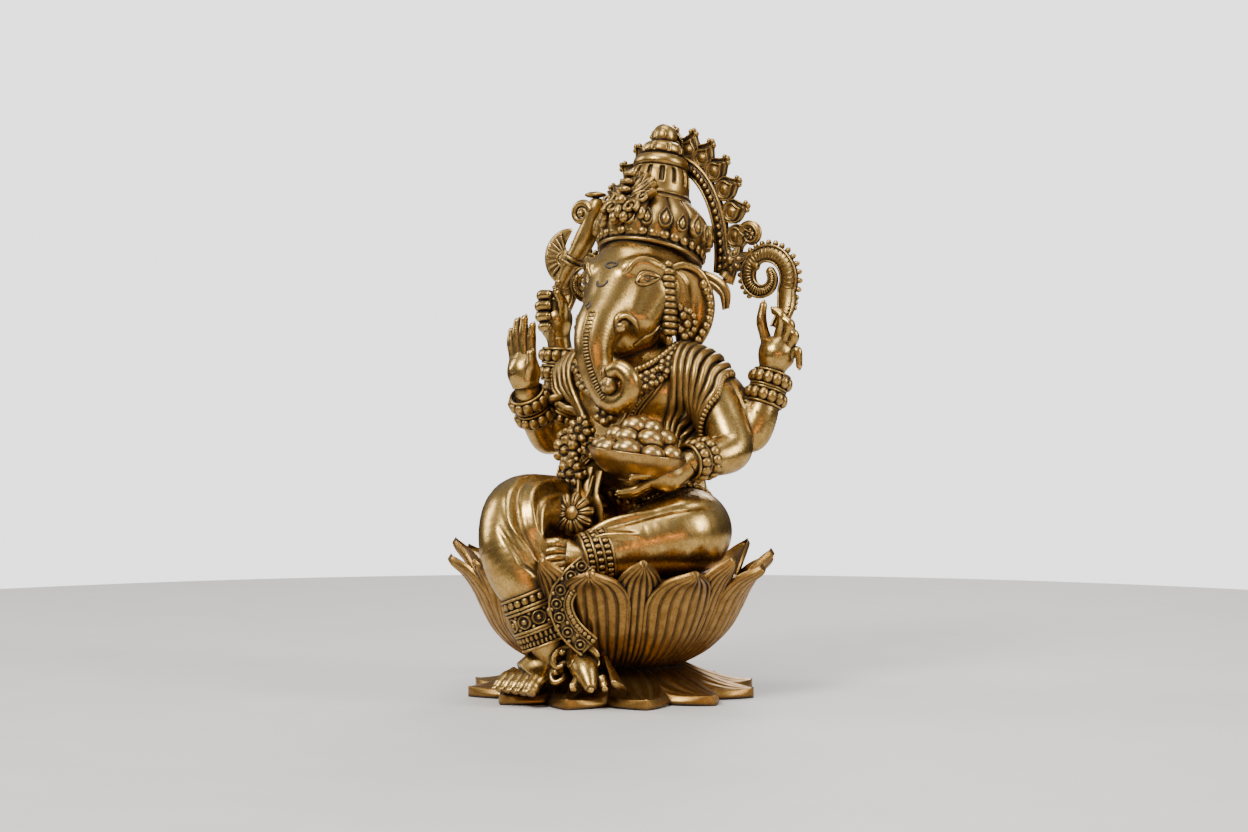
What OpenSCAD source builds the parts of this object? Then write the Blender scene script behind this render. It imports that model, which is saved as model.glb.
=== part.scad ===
// Seated four-armed elephant-headed deity on a lotus, cast in brass.
// The front faces -Y, the figure's own left is +X, and the origin is the middle of the rest face.
// Every length is given for a figure 164 mm tall, and statue_h scales the whole assembly.

/* [Overall] */
// Height from the rest face to the tip of the crown
statue_h = 164; // [100:1:330]

/* [Base plate] */
// Distance from the axis to the tip of a base petal
plate_tip_r = 43; // [40:0.5:46]
// Thickness of the base plate
plate_t = 4; // [3:0.5:5]
// Number of petals around the base plate
plate_petals = 12; // [10:1:14]

/* [Lotus cup] */
// Radius of the cup where it is widest
cup_r = 36; // [35:0.5:37.5]
// Height of the face that the figure sits on
seat_z = 34; // [32:0.5:35]
// Number of outer petals, with one inner petal between each pair
cup_petals = 8; // [7:1:9]
// Thickness of a cup petal
petal_t = 2; // [1.6:0.1:2.4]

/* [Figure] */
// Radius of the belly
belly_r = 19; // [17:0.5:20]
// Radius of the skull
skull_r = 14.5; // [13.5:0.5:15]
// Radius of the trunk where it leaves the face
trunk_root_r = 8.5; // [7.5:0.5:9]
// Radius of the trunk at its tip
trunk_tip_r = 2.3; // [1.8:0.1:2.6]
// Radius of the upper arms
arm_r = 6.5; // [5.5:0.5:7]
// Radius of the wrists
wrist_r = 3.8; // [3.4:0.1:4.2]

/* [Crown] */
// Radius of the crown's rim
crown_r = 15.5; // [14.5:0.5:16]
// Backward lean of the crown's axis
crown_lean = 12; // [8:1:14]
// Backward tilt of the rim, which rises over the forehead
rim_tilt = 19; // [14:1:22]
// Number of round studs on the rim
rim_studs = 30; // [24:1:36]
// Number of flutes above the rim
crown_flutes = 18; // [14:1:22]

/* [Arch] */
// Half of the arch's inner width
arch_half_w = 18.5; // [17.5:0.5:19.5]
// Height of the arch above its springing
arch_rise = 27.5; // [26:0.5:29]
// Number of cabochon petals on the arch
arch_petals = 11; // [9:2:13]
// Radius of the big scrolls at the ends
scroll_r = 8.2; // [7.4:0.1:8.6]

/* [Offerings and ornaments] */
// Radius of the bowl's rim
bowl_r = 14; // [12.5:0.5:14.5]
// Radius of one sweet in the bowl
sweet_r = 3.1; // [2.7:0.1:3.3]
// Radius of the large bracelet beads
bead_r = 1.45; // [1.2:0.05:1.6]

/* [Hidden] */
DESIGN_H = 164;

GOLD = [0.72, 0.58, 0.32];
DARK_GOLD = [0.55, 0.43, 0.22];
PALE_GOLD = [0.80, 0.68, 0.42];
LIMB_FN = 16;
SMALL_FN = 10;
SMOOTH_FN = 48;
BEAD_FN = 16;

// Joints of the figure, each as x, y, z and the radius of the flesh there
SHOULDER_FRONT = [24, 14, 87, arm_r + 0.8];
SHOULDER_REAR = [24, 20, 88, arm_r];
ELBOW_LF = [34, 12, 69.5, arm_r - 1.5];
WRIST_LF = [30, -2, 67, wrist_r];
ELBOW_RF = [-30.5, 13, 73, arm_r - 1.5];
WRIST_RF = [-31, 2.5, 82.5, wrist_r];
ELBOW_LR = [34.5, 22, 73, arm_r - 1.8];
WRIST_LR = [38, 27, 85.5, wrist_r];
ELBOW_RR = [-36.5, 24, 79, arm_r - 1.5];
WRIST_RR = [-37.5, 25, 95, wrist_r];
PALM_LF = [24, -8, 62.5, 3.4];
PALM_RF = [-31.5, 1.2, 90, 3.2];
PALM_LR = [40, 27.5, 95.5, 3.4];
PALM_RR = [-37, 23.5, 105, 3.4];
HEAD_C = [0, 12.5, 116];
CROWN_C = [0, 19.5, 127];
BOWL_C = [15.5, -11, 60.5];
FINGER_R = 1.05;

// The trunk's centre line from the face to its curled tip, as x, y, z and how far along it is
TRUNK_PATH = [
    [0, 4, 113, 0], [0, -1.5, 106, 0.16], [0.3, -4.6, 98, 0.34], [1.8, -5.6, 90.5, 0.52],
    [4.6, -7, 85.5, 0.66], [9, -8.4, 84.4, 0.76], [12.6, -9, 86.8, 0.84],
    [12.4, -10, 90.2, 0.92], [9.4, -10.8, 91, 1]
];

module brass(tone) {
    color(tone) scale(statue_h / DESIGN_H) children();
}

module ball_at(place, fn = LIMB_FN) {
    translate([place[0], place[1], place[2]]) sphere(r = place[3], $fn = fn);
}

// A smooth limb through a list of [x, y, z, radius]
module limb(places, fn = LIMB_FN) {
    for (i = [0 : len(places) - 2])
        hull() {
            ball_at(places[i], fn);
            ball_at(places[i + 1], fn);
        }
}

// An egg with half-axes size at place
module egg(place, size) {
    translate(place) scale(size) sphere(r = 1, $fn = SMOOTH_FN);
}

// Stands things written along +Z on the line from a to b
module along(a, b) {
    run = [b[0] - a[0], b[1] - a[1], b[2] - a[2]];
    translate([a[0], a[1], a[2]])
        rotate([0, acos(run[2] / norm(run)), atan2(run[1], run[0])]) children();
}

// A ring of beads around +Z with a plain hoop behind them
module bead_ring(ring_r, bead, count, lift = 0) {
    translate([0, 0, lift]) {
        rotate_extrude($fn = SMOOTH_FN)
            translate([ring_r - bead * 0.6, 0]) square([bead * 0.8, bead * 1.6], center = true);
        for (i = [0 : count - 1])
            rotate(360 / count * i) translate([ring_r, 0, 0]) sphere(r = bead, $fn = BEAD_FN);
    }
}

// Two rows of beads with a flat band between them, as on each wrist
module bracelet(a, b, from, inner_r, rows = 2, pitch = 3.6) {
    along(a, b) translate([0, 0, from]) {
        for (row = [0 : rows - 1])
            bead_ring(inner_r + bead_r * 0.7, bead_r, 12, row * pitch);
        translate([0, 0, pitch / 2])
            rotate_extrude($fn = SMOOTH_FN)
                translate([inner_r - 0.4, -bead_r * 0.4]) square([1.3, bead_r * 0.8]);
    }
}

// A star of pointed petals: the radius falls from each tip to the valley beside it
function star_outline(tip_r, valley_r, petals, steps = 6) = [
    for (i = [0 : petals * steps * 2 - 1])
        let (
            angle = 180 / petals / steps * i,
            off_tip = abs((i % (2 * steps)) / steps - 1),
            r = valley_r + (tip_r - valley_r) * pow(off_tip, 1.25)
        )
        [r * cos(angle), r * sin(angle)]
];

module base_plate() brass(GOLD) rotate(18) {
    linear_extrude(plate_t * 0.65) polygon(star_outline(plate_tip_r, 27, plate_petals));
    translate([0, 0, plate_t * 0.65])
        linear_extrude(plate_t * 0.35) polygon(star_outline(plate_tip_r - 2.2, 26, plate_petals));
    translate([0, 0, plate_t]) cylinder(r1 = 24, r2 = 20, h = 1.5, $fn = SMOOTH_FN);
}

module lotus_cup() brass(GOLD) {
    rotate_extrude($fn = SMOOTH_FN)
        polygon([
            [0, plate_t + 1.5], [18, plate_t + 1.5], [cup_r - 10.5, 8.5], [cup_r - 5.8, 12.5],
            [cup_r - 2.4, 18.5], [cup_r - 0.2, 27], [cup_r + 0.5, seat_z], [0, seat_z]
        ]);
}

// One upright petal: its root hugs the cup and its tip flares out by flare
module cup_petal(width, tip_z, flare) {
    hull() {
        translate([cup_r - 3.5, 0, 16]) cube([petal_t, width * 0.62, 1], center = true);
        translate([cup_r + 1.2, 0, 27]) cube([petal_t, width, 1], center = true);
    }
    hull() {
        translate([cup_r + 1.2, 0, 27]) cube([petal_t, width, 1], center = true);
        translate([cup_r + 2.2, 0, seat_z + 1]) cube([petal_t, width * 0.86, 1], center = true);
    }
    hull() {
        translate([cup_r + 2.2, 0, seat_z + 1]) cube([petal_t, width * 0.86, 1], center = true);
        translate([cup_r + flare, 0, tip_z]) cube([petal_t, 2.4, 1.4], center = true);
    }
}

module cup_petals_outer() brass(GOLD) {
    for (i = [0 : cup_petals - 1])
        rotate(i * 360 / cup_petals + 10) cup_petal(23, 39.5, 8.2);
}

module cup_petals_inner() brass(DARK_GOLD) {
    for (i = [0 : cup_petals - 1])
        rotate((i + 0.5) * 360 / cup_petals + 10) cup_petal(15, 41.5, 6.2);
}

module torso() brass(GOLD) {
    egg([0, 15, 46], [24, 17, 15]);
    egg([0, 12, 66], [belly_r + 0.5, belly_r - 2, 19]);
    egg([0, 13.5, 86], [19, 12, 14]);
    limb([[-17, 14.5, 90, 6], [0, 14, 94, 8], [17, 14.5, 90, 6]]);
    translate([0, 13, 96]) cylinder(r1 = 11, r2 = 9.5, h = 12, $fn = SMOOTH_FN);
}

module head() brass(GOLD) {
    egg(HEAD_C, [skull_r, skull_r + 0.8, skull_r + 1.5]);
    for (side = [-1, 1])
        egg([side * 7.2, 4.5, 108], [6.6, 8, 8.5]);
    egg([0, 3.5, 100.5], [5.5, 7, 4]);
}

module trunk() brass(GOLD) {
    limb([
        for (p = TRUNK_PATH)
            [p[0], p[1], p[2], trunk_root_r + (trunk_tip_r - trunk_root_r) * pow(p[3], 0.72)]
    ]);
}

module tusk(side) {
    limb([
        [side * 6.4, -1, 105.5, 1.9], [side * 7.2, -4, 104, 1.6], [side * 7.8, -7, 103.6, 1.0]
    ], SMALL_FN);
}

module tusk_left() brass(PALE_GOLD) tusk(1);

module tusk_right() brass(PALE_GOLD) tusk(-1);

// A hanging ear with a rolled rim, seen as a curved leaf beside the skull
module ear(side) {
    rim = [
        [side * 13.6, 12, 119.5, 1.4], [side * 16.2, 15, 120.2, 1.5], [side * 18.8, 18.2, 116, 1.5],
        [side * 19.4, 19.6, 109, 1.4], [side * 17.6, 18, 102, 1.4], [side * 15, 14.6, 98, 1.3]
    ];
    limb(rim, SMALL_FN);
    hull() {
        ball_at([side * 13.2, 12.4, 117.5, 1.1], SMALL_FN);
        ball_at([side * 18.2, 18.4, 114.5, 1], SMALL_FN);
        ball_at([side * 18.6, 19.4, 108, 1], SMALL_FN);
        ball_at([side * 14.8, 15, 100, 1.1], SMALL_FN);
        ball_at([side * 12.8, 12.6, 106, 1.1], SMALL_FN);
    }
}

module ear_left() brass(GOLD) ear(1);

module ear_right() brass(GOLD) ear(-1);

// The rope of stacked rings that hangs from the crown in front of the ear
module ear_rope(side) {
    for (i = [0 : 8])
        translate([side * (13.8 - i * 0.05), 8.2 + i * 0.12, 119.5 - i * 1.95])
            scale([1, 1, 0.62]) sphere(r = 1.9, $fn = BEAD_FN);
}

module ear_rope_left() brass(GOLD) ear_rope(1);

module ear_rope_right() brass(GOLD) ear_rope(-1);

// Puts crown parts on the leaning axis, with the rim at height zero
module on_crown(lean = crown_lean) {
    translate(CROWN_C) rotate([-lean, 0, 0]) children();
}

module crown_band() brass(GOLD) on_crown(rim_tilt) {
    rotate_extrude($fn = SMOOTH_FN)
        translate([11, -1.5]) square([crown_r - 11, 5]);
    for (i = [0 : rim_studs - 1])
        rotate(360 / rim_studs * i)
            translate([crown_r - 0.3, 0, 1]) sphere(r = 1.4 * 30 / rim_studs, $fn = BEAD_FN);
}

module crown_flare() brass(GOLD) on_crown() {
    rotate_extrude($fn = SMOOTH_FN)
        polygon([[0, 3.5], [crown_r - 0.6, 3.5], [crown_r - 2.5, 9], [8.6, 14.5], [0, 14.5]]);
    for (i = [0 : crown_flutes - 1])
        rotate(360 / crown_flutes * i) {
            along([crown_r - 1, 0, 4.6], [crown_r - 2.7, 0, 9])
                cylinder(r1 = 1.3, r2 = 1, h = 4.7, $fn = BEAD_FN);
            along([crown_r - 2.9, 0, 8.8], [9, 0, 14])
                cylinder(r1 = 1, r2 = 0.5, h = 6.2, $fn = BEAD_FN);
        }
}

module crown_drum() brass(GOLD) on_crown() {
    rotate_extrude($fn = SMOOTH_FN)
        polygon([[0, 14.5], [8.8, 14.5], [9.2, 15.8], [8.4, 16.4], [8.2, 20], [7.2, 24.4], [0, 24.4]]);
    for (i = [0 : 13])
        rotate(360 / 14 * i) translate([7.9, 0, 17.4]) cylinder(r = 0.8, h = 5.6, $fn = BEAD_FN);
}

FINIAL_TOP = (DESIGN_H - CROWN_C[2]) / cos(crown_lean);
module crown_finial() brass(GOLD) on_crown() {
    rotate_extrude($fn = SMOOTH_FN)
        polygon([
            [0, 24.4], [7.1, 24.4], [7.5, 25.8], [6.7, 27.8], [5.1, 28.4], [6, 29.8], [5.1, 31.6],
            [3.2, 32], [3.7, 33.6], [3.2, 35.8], [2, 37.4], [0, FINIAL_TOP]
        ]);
}

// Fan leaves and a rounded mask at the front of the crown
module crown_crest() brass(DARK_GOLD) on_crown() {
    for (i = [-3 : 3])
        translate([i * 1.9, -crown_r + 3 + abs(i) * 0.8, 12 - abs(i) * 1.2])
            rotate([18, i * 16, 0]) scale([1.5, 1.3, 4.6]) sphere(r = 1, $fn = BEAD_FN);
    for (side = [-1, 1])
        translate([side * 3.4, -crown_r + 0.6, 7.2]) sphere(r = 2.4, $fn = BEAD_FN);
    translate([0, -crown_r + 0.4, 5.6]) scale([2, 1.6, 2.2]) sphere(r = 1, $fn = BEAD_FN);
}

ARCH_Y = 31;
ARCH_Z = 126.5;
function arch_point(angle, out = 0) = [
    (arch_half_w + out) * cos(angle), ARCH_Y, ARCH_Z + (arch_rise + out) * sin(angle)
];

module arch() brass(DARK_GOLD) {
    translate([0, ARCH_Y, ARCH_Z])
        scale([1, 1, arch_rise / arch_half_w])
            rotate([90, 0, 0])
                rotate(-12)
                    rotate_extrude(angle = 204, $fn = SMOOTH_FN)
                        translate([arch_half_w, 0]) circle(r = 2.1, $fn = BEAD_FN);
    for (i = [0 : arch_petals - 1]) {
        angle = 18 + 144 / (arch_petals - 1) * i;
        place = arch_point(angle, 4.2);
        translate(place) rotate([0, 90 - angle, 0]) scale([2.9, 1.9, 4.4]) sphere(r = 1, $fn = BEAD_FN);
    }
}

// A flat spiral whose tail runs down into the rear hand, with a small curl above it
SCROLL_C = [32.5, ARCH_Y, 118.5];
function curl(side, centre, reach, start, sweep, shrink, thick, steps) = [
    for (i = [0 : steps])
        let (t = i / steps, r = reach * (1 - shrink * t), turn = start + sweep * t)
        [side * (centre[0] + r * cos(turn)), centre[1], centre[2] + r * sin(turn), thick * (1 - 0.35 * t)]
];

module scroll(side, small_z, tail_end) {
    big = curl(side, SCROLL_C, scroll_r, -30, 420, 0.72, 2, 14);
    limb(concat([tail_end], big), 8);
    limb([
        concat(arch_point(side > 0 ? -12 : 192), 2.1), [side * 21.5, ARCH_Y, 124.5, 3.4],
        [side * 28, ARCH_Y, 124.8, 1.8]
    ], SMALL_FN);
    limb(curl(side, [26.5, ARCH_Y, small_z], 3.8, -150, -330, 0.5, 1.3, 9), 8);
}

module scroll_left() brass(DARK_GOLD) scroll(1, 131.8, [38.8, 28.5, 105, 1.5]);

module scroll_right() brass(DARK_GOLD) scroll(-1, 136.5, [-39, 27.5, 109, 1.5]);

// Handle, socket and crescent blade, held upright
module axe() brass(GOLD) {
    limb([
        [-37, 21.5, 99, 1.3], [-36, 20.8, 119, 1.5], [-34.5, 20.6, 128, 2.6], [-33.6, 20.6, 133, 1.8]
    ], SMALL_FN);
    translate([-35, 20.6, 128])
        rotate([90, 0, 0])
            linear_extrude(2.4, center = true)
                difference() {
                    circle(r = 8.6, $fn = SMOOTH_FN);
                    translate([9, -2]) circle(r = 8.4, $fn = SMOOTH_FN);
                    translate([4, 6]) rotate(20) square([14, 9], center = true);
                }
}

module arm_front_left() brass(GOLD) limb([SHOULDER_FRONT, ELBOW_LF, WRIST_LF]);

module arm_front_right() brass(GOLD)
    limb([[-24, 13, 87, arm_r + 0.5], ELBOW_RF, WRIST_RF]);

module arm_rear_left() brass(GOLD) limb([SHOULDER_REAR, ELBOW_LR, WRIST_LR]);

module arm_rear_right() brass(GOLD) limb([[-24, 20, 88, arm_r], ELBOW_RR, WRIST_RR]);

// A palm with four fingers and a thumb from lists of knuckles and tips
module hand(wrist, palm, fingers) {
    hull() {
        ball_at([wrist[0], wrist[1], wrist[2], wrist_r - 0.6], SMALL_FN);
        ball_at(palm, SMALL_FN);
        for (f = fingers)
            ball_at([f[0][0], f[0][1], f[0][2], FINGER_R], 8);
    }
    for (f = fingers)
        limb([for (p = f) [p[0], p[1], p[2], FINGER_R]], 8);
}

// Raised palm outward, fingers straight up
module hand_front_right() brass(GOLD)
    hand(WRIST_RF, PALM_RF, [
        [[-35, 0.6, 93.5], [-35.4, 0.2, 98], [-35.2, 0.4, 101.6]],
        [[-32.8, 0.2, 94.5], [-33, -0.2, 100], [-32.8, 0, 104.4]],
        [[-30.6, 0.2, 94.5], [-30.6, -0.2, 100.4], [-30.4, 0, 105]],
        [[-28.5, 0.8, 94], [-28.3, 0.4, 99], [-28, 0.6, 103]],
        [[-28, -0.8, 88], [-26.6, -1.4, 92], [-26.4, -1, 95]]
    ]);

// Open palm under the bowl
module hand_front_left() brass(GOLD)
    hand(WRIST_LF, PALM_LF, [
        [[22, -12, 62], [17.5, -14.5, 59.8], [13.5, -15.5, 58.6]],
        [[21.5, -10, 61.4], [16.5, -12, 58.9], [12, -13, 57.6]],
        [[21.5, -8, 61], [16.5, -9.4, 58.4], [12.4, -10.2, 57.2]],
        [[22, -6, 61.2], [17.4, -6.6, 58.6], [14, -7, 57.6]],
        [[24.5, -12, 64], [22, -17, 64.5], [20, -20, 65.5]]
    ]);

// Curled grip around the tail of the scroll
module hand_rear_left() brass(GOLD)
    hand(WRIST_LR, PALM_LR, [
        [[36.4, 26, 98], [35.4, 25.4, 103.5], [35.8, 26, 108.4]],
        [[41, 26.4, 99.5], [41.4, 25.6, 104.5], [39.2, 26.4, 107.4]],
        [[42.4, 27, 98], [43.6, 26.2, 102.6], [41, 26.6, 105]],
        [[43, 28, 96], [44.8, 27.4, 100], [42.4, 27.6, 102.4]],
        [[43.2, 28.6, 93.6], [45.6, 28.4, 95], [46, 28.8, 91]]
    ]);

// Fist around the handle of the axe
module hand_rear_right() brass(GOLD)
    hand(WRIST_RR, PALM_RR, [
        [[-40.6, 22.6, 110], [-38.6, 19.6, 111.4], [-35, 20.2, 111.6]],
        [[-41, 22.4, 107.6], [-39, 19.2, 108.8], [-35, 19.8, 109]],
        [[-41, 22.6, 105], [-39.2, 19.4, 106], [-35.2, 20, 106.2]],
        [[-40.6, 23, 102.6], [-39, 20, 103.2], [-35.6, 20.4, 103.4]],
        [[-34.4, 22.6, 106], [-33.4, 20.4, 110], [-34.6, 19.8, 113]]
    ]);

module bracelet_front_left() brass(GOLD) bracelet(ELBOW_LF, WRIST_LF, 12.2, wrist_r + 0.4, 2, 3.2);

module bracelet_front_right() brass(GOLD) bracelet(ELBOW_RF, WRIST_RF, 8.6, wrist_r + 0.4, 2, 4.4);

module bracelet_rear_left() brass(GOLD) bracelet(ELBOW_LR, WRIST_LR, 11, wrist_r + 0.4, 2, 5);

module bracelet_rear_right() brass(GOLD) bracelet(ELBOW_RR, WRIST_RR, 9.4, wrist_r + 0.4, 2, 5);

// Leaf-shaped band on the right arms above the elbow
module armlet_right() brass(DARK_GOLD) {
    along([-24, 13, 87], ELBOW_RF) translate([0, 0, 6]) bead_ring(6.6, 1.1, 16);
    translate([-31.6, 9.4, 82.5]) rotate([-8, -14, 0]) scale([2.6, 1.4, 4.4]) sphere(r = 1, $fn = BEAD_FN);
}

// A loop of beads from shoulder to shoulder and down over the chest
function necklace_point(t) = [
    14.5 * cos(t), 13 - 13.4 * sin(t) * 1.02, 98.5 - 7.5 * sin(t)
];

module necklace() brass(DARK_GOLD) {
    for (row = [0 : 2])
        for (t = [-6 : 12 : 186])
            translate(necklace_point(t) + [0, -1.1 * sin(t) * row * 0.5, -2.7 * row + 1.5])
                sphere(r = 1.6 - row * 0.15, $fn = BEAD_FN);
}

module sacred_thread() brass(GOLD) {
    limb([
        [17.5, 6.4, 94, 1.3], [12.5, 0.2, 86.5, 1.3], [6, -3.4, 78.5, 1.3], [-3, -5.2, 70.5, 1.3],
        [-11, -2.6, 64, 1.3], [-17.4, 4.6, 59, 1.3]
    ], SMALL_FN);
}

// Ribbed shawl over the left shoulder, falling to the hip
module shawl() brass(GOLD) {
    for (fold = [0 : 5]) {
        x = 17.5 + fold * 2.3;
        limb([
            [x - 1.5, 24.5 - fold * 0.4, 84, 1.5], [x - 1, 19.5, 95.5 - fold * 1.1, 1.5],
            [x, 10.5, 96.5 - fold * 1.4, 1.5], [x + 0.4, 5 + fold * 0.8, 88.5 - fold * 0.8, 1.6],
            [19.5 + fold * 1.3, 3.4 + fold * 1.4, 73, 1.5]
        ], 8);
    }
}

GARLAND_KNOTS = [
    [5, -8.6, 80.2], [-3, -11.4, 75], [-6.8, -13, 69.5], [-5.2, -14, 63.5]
];

// A straight round cord from a to b
module cord(a, b, r) {
    along(a, b) cylinder(r = r, h = norm(b - a), $fn = BEAD_FN);
}

// Rosettes of a disc and six round petals, then two cords that meet above the flower
module garland() brass(GOLD) {
    for (knot = GARLAND_KNOTS)
        translate(knot) rotate([90, 0, 0]) {
            cylinder(r = 4.2, h = 1.4, center = true, $fn = SMOOTH_FN);
            for (petal = [0 : 5])
                rotate(60 * petal + 20) translate([2.6, 0, 0])
                    cylinder(r = 1.1, h = 2.6, center = true, $fn = SMOOTH_FN);
        }
    cord([-10, -9, 68], [-6, -15.5, 57], 1.1);
    cord([-1, -13.5, 64], [0.4, -19, 54.5], 1.1);
}

module flower_pendant() brass(GOLD) translate([1, -20.4, 50.4]) rotate([82, 0, 12]) {
    cylinder(r = 2.4, h = 2.6, center = true, $fn = SMOOTH_FN);
    for (i = [0 : 9])
        rotate(36 * i) translate([3.9, 0, 0]) scale([2.4, 1.25, 1.3]) sphere(r = 1, $fn = BEAD_FN);
}

BOWL_DEPTH = 7.5;
module bowl() brass(GOLD) translate(BOWL_C)
    rotate_extrude($fn = SMOOTH_FN)
        polygon([
            [0, 0], [4.5, 0], [9.5, 2], [bowl_r - 1.2, 5.2], [bowl_r, BOWL_DEPTH],
            [bowl_r - 1.6, BOWL_DEPTH], [bowl_r - 3, 5.6], [8.6, 3.4], [0, 1.8]
        ]);

// Sweets heaped in three rings above the bowl's rim
module sweets() brass(PALE_GOLD) translate(BOWL_C) {
    for (ring = [[bowl_r - 3.6, 10, 0, 0.4], [bowl_r - 7, 7, 14, 3.6], [3.6, 3, 40, 6]])
        for (i = [0 : ring[1] - 1])
            rotate(360 / ring[1] * i + ring[2])
                translate([ring[0], 0, BOWL_DEPTH + ring[3]]) sphere(r = sweet_r, $fn = BEAD_FN);
    translate([0, 0, 2.2]) cylinder(r1 = 6, r2 = bowl_r - 4, h = 5, $fn = SMOOTH_FN);
    translate([0, 0, 7.2]) cylinder(r1 = bowl_r - 4, r2 = 3, h = 5.5, $fn = SMOOTH_FN);
}

module held_sweet() brass(PALE_GOLD) translate([8, -12.6, 88]) sphere(r = 2.5, $fn = SMOOTH_FN);

module belt() brass(DARK_GOLD)
    for (t = [-32 : 8 : 212])
        translate([24 * cos(t), 12.5 - 18.2 * sin(t), 55.5 - 4.5 * sin(t)]) sphere(r = 1.5, $fn = BEAD_FN);

// Left leg folded flat, knee outward and shin across the front
module leg_left() brass(GOLD)
    limb([[11, 8, 47, 12], [25.5, 0, 46, 11], [18, -16, 41.5, 7.6], [10.5, -24, 39.6, 4.8]], 18);

// Right leg hanging in front of the cup
module leg_right() brass(GOLD)
    limb([[-10, 0, 50, 11.5], [-12, -30, 52, 9.8], [-6, -35.5, 37, 7.8], [-0.8, -34, 24, 5.6]], 18);

// Sole, heel and five toes, whose roots run from toes[0] to toes[1] and tips from toes[2] to toes[3]
module foot(heel, ball_l, ball_r, toes, toe_r) {
    hull() {
        ball_at(heel, SMALL_FN);
        ball_at(ball_l, SMALL_FN);
        ball_at(ball_r, SMALL_FN);
    }
    for (i = [0 : 4]) {
        root = toes[0] + (toes[1] - toes[0]) * i / 4;
        tip = toes[2] + (toes[3] - toes[2]) * i / 4;
        limb([concat(root, toe_r), concat(tip, toe_r)], SMALL_FN);
    }
}

module foot_left() brass(GOLD)
    foot([9.6, -26.6, 38, 4.2], [4.6, -30, 40.6, 2], [5, -31, 35.8, 2],
        [[4.2, -29.6, 42], [4.4, -31.6, 34.8], [1, -31, 42.2], [1.4, -33.6, 34.4]], 1.25);

module foot_right() brass(GOLD)
    foot([-1, -29.5, 9, 4.6], [-6, -37, 6, 2.4], [1.4, -38, 6, 2.4],
        [[-7, -38, 5.6], [2.4, -38.6, 5.6], [-6.8, -41.4, 5.2], [2, -42.6, 5.2]], 1.3);

module anklet_left() brass(DARK_GOLD)
    along([15.6, -19.6, 40.4], [6.2, -28.2, 38.4]) {
        translate([0, 0, 1]) bead_ring(5.4, 0.95, 20);
        translate([0, 0, 3.4]) bead_ring(5.3, 1.1, 18);
        translate([0, 0, 5.8]) bead_ring(5, 0.95, 20);
    }

ANKLET_TOP = [-1, -34.4, 26.5];
ANKLET_LOW = [0.8, -31.6, 12.5];
module anklet_right() brass(DARK_GOLD)
    along(ANKLET_TOP, ANKLET_LOW) {
        translate([0, 0, 1]) bead_ring(7, 1.35, 18);
        rotate_extrude($fn = SMOOTH_FN) translate([4.6, 2]) square([2.7, 8.8]);
        for (i = [0 : 8])
            rotate(40 * i) translate([7, 0, 6.2]) sphere(r = 1.7, $fn = BEAD_FN);
        translate([0, 0, 11]) bead_ring(7, 1.2, 20);
    }

// Decorated sash end that falls over the front of the cup
SASH = [
    [11.6, -34.4, 35], [12.2, -37.6, 31], [12, -37.4, 25], [11.4, -35, 18.5], [10.4, -30.6, 13]
];
module sash_band() brass(DARK_GOLD)
    for (i = [0 : len(SASH) - 2])
        hull() {
            for (p = [SASH[i], SASH[i + 1]])
                translate(p) rotate(18) cube([7, 2, 1], center = true);
        }

// The small mouse at the deity's feet, nose down and outward
module mouse() brass(GOLD) {
    limb([[10, -29.5, 13.4, 3.4], [13, -32, 11, 3.7], [16.6, -35, 8.4, 2.5], [18.6, -36.8, 6.4, 1.3]], 12);
    for (side = [-1, 1])
        translate([14 + side * 2.2, -33.6 + side * 1.4, 13.4]) sphere(r = 1.4, $fn = BEAD_FN);
    limb([[8.4, -29.5, 12, 1.2], [6, -32.4, 13, 1.1], [4.6, -34.4, 10.4, 1.1], [6.4, -35, 8, 1.1]], 8);
}

base_plate();
lotus_cup();
cup_petals_outer();
cup_petals_inner();
torso();
head();
trunk();
tusk_left();
tusk_right();
ear_left();
ear_right();
ear_rope_left();
ear_rope_right();
crown_band();
crown_flare();
crown_drum();
crown_finial();
crown_crest();
arch();
scroll_left();
scroll_right();
axe();
arm_front_left();
arm_front_right();
arm_rear_left();
arm_rear_right();
hand_front_left();
hand_front_right();
hand_rear_left();
hand_rear_right();
bracelet_front_left();
bracelet_front_right();
bracelet_rear_left();
bracelet_rear_right();
armlet_right();
necklace();
sacred_thread();
shawl();
garland();
flower_pendant();
bowl();
sweets();
held_sweet();
belt();
leg_left();
leg_right();
foot_left();
foot_right();
anklet_left();
anklet_right();
sash_band();
mouse();
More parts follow.
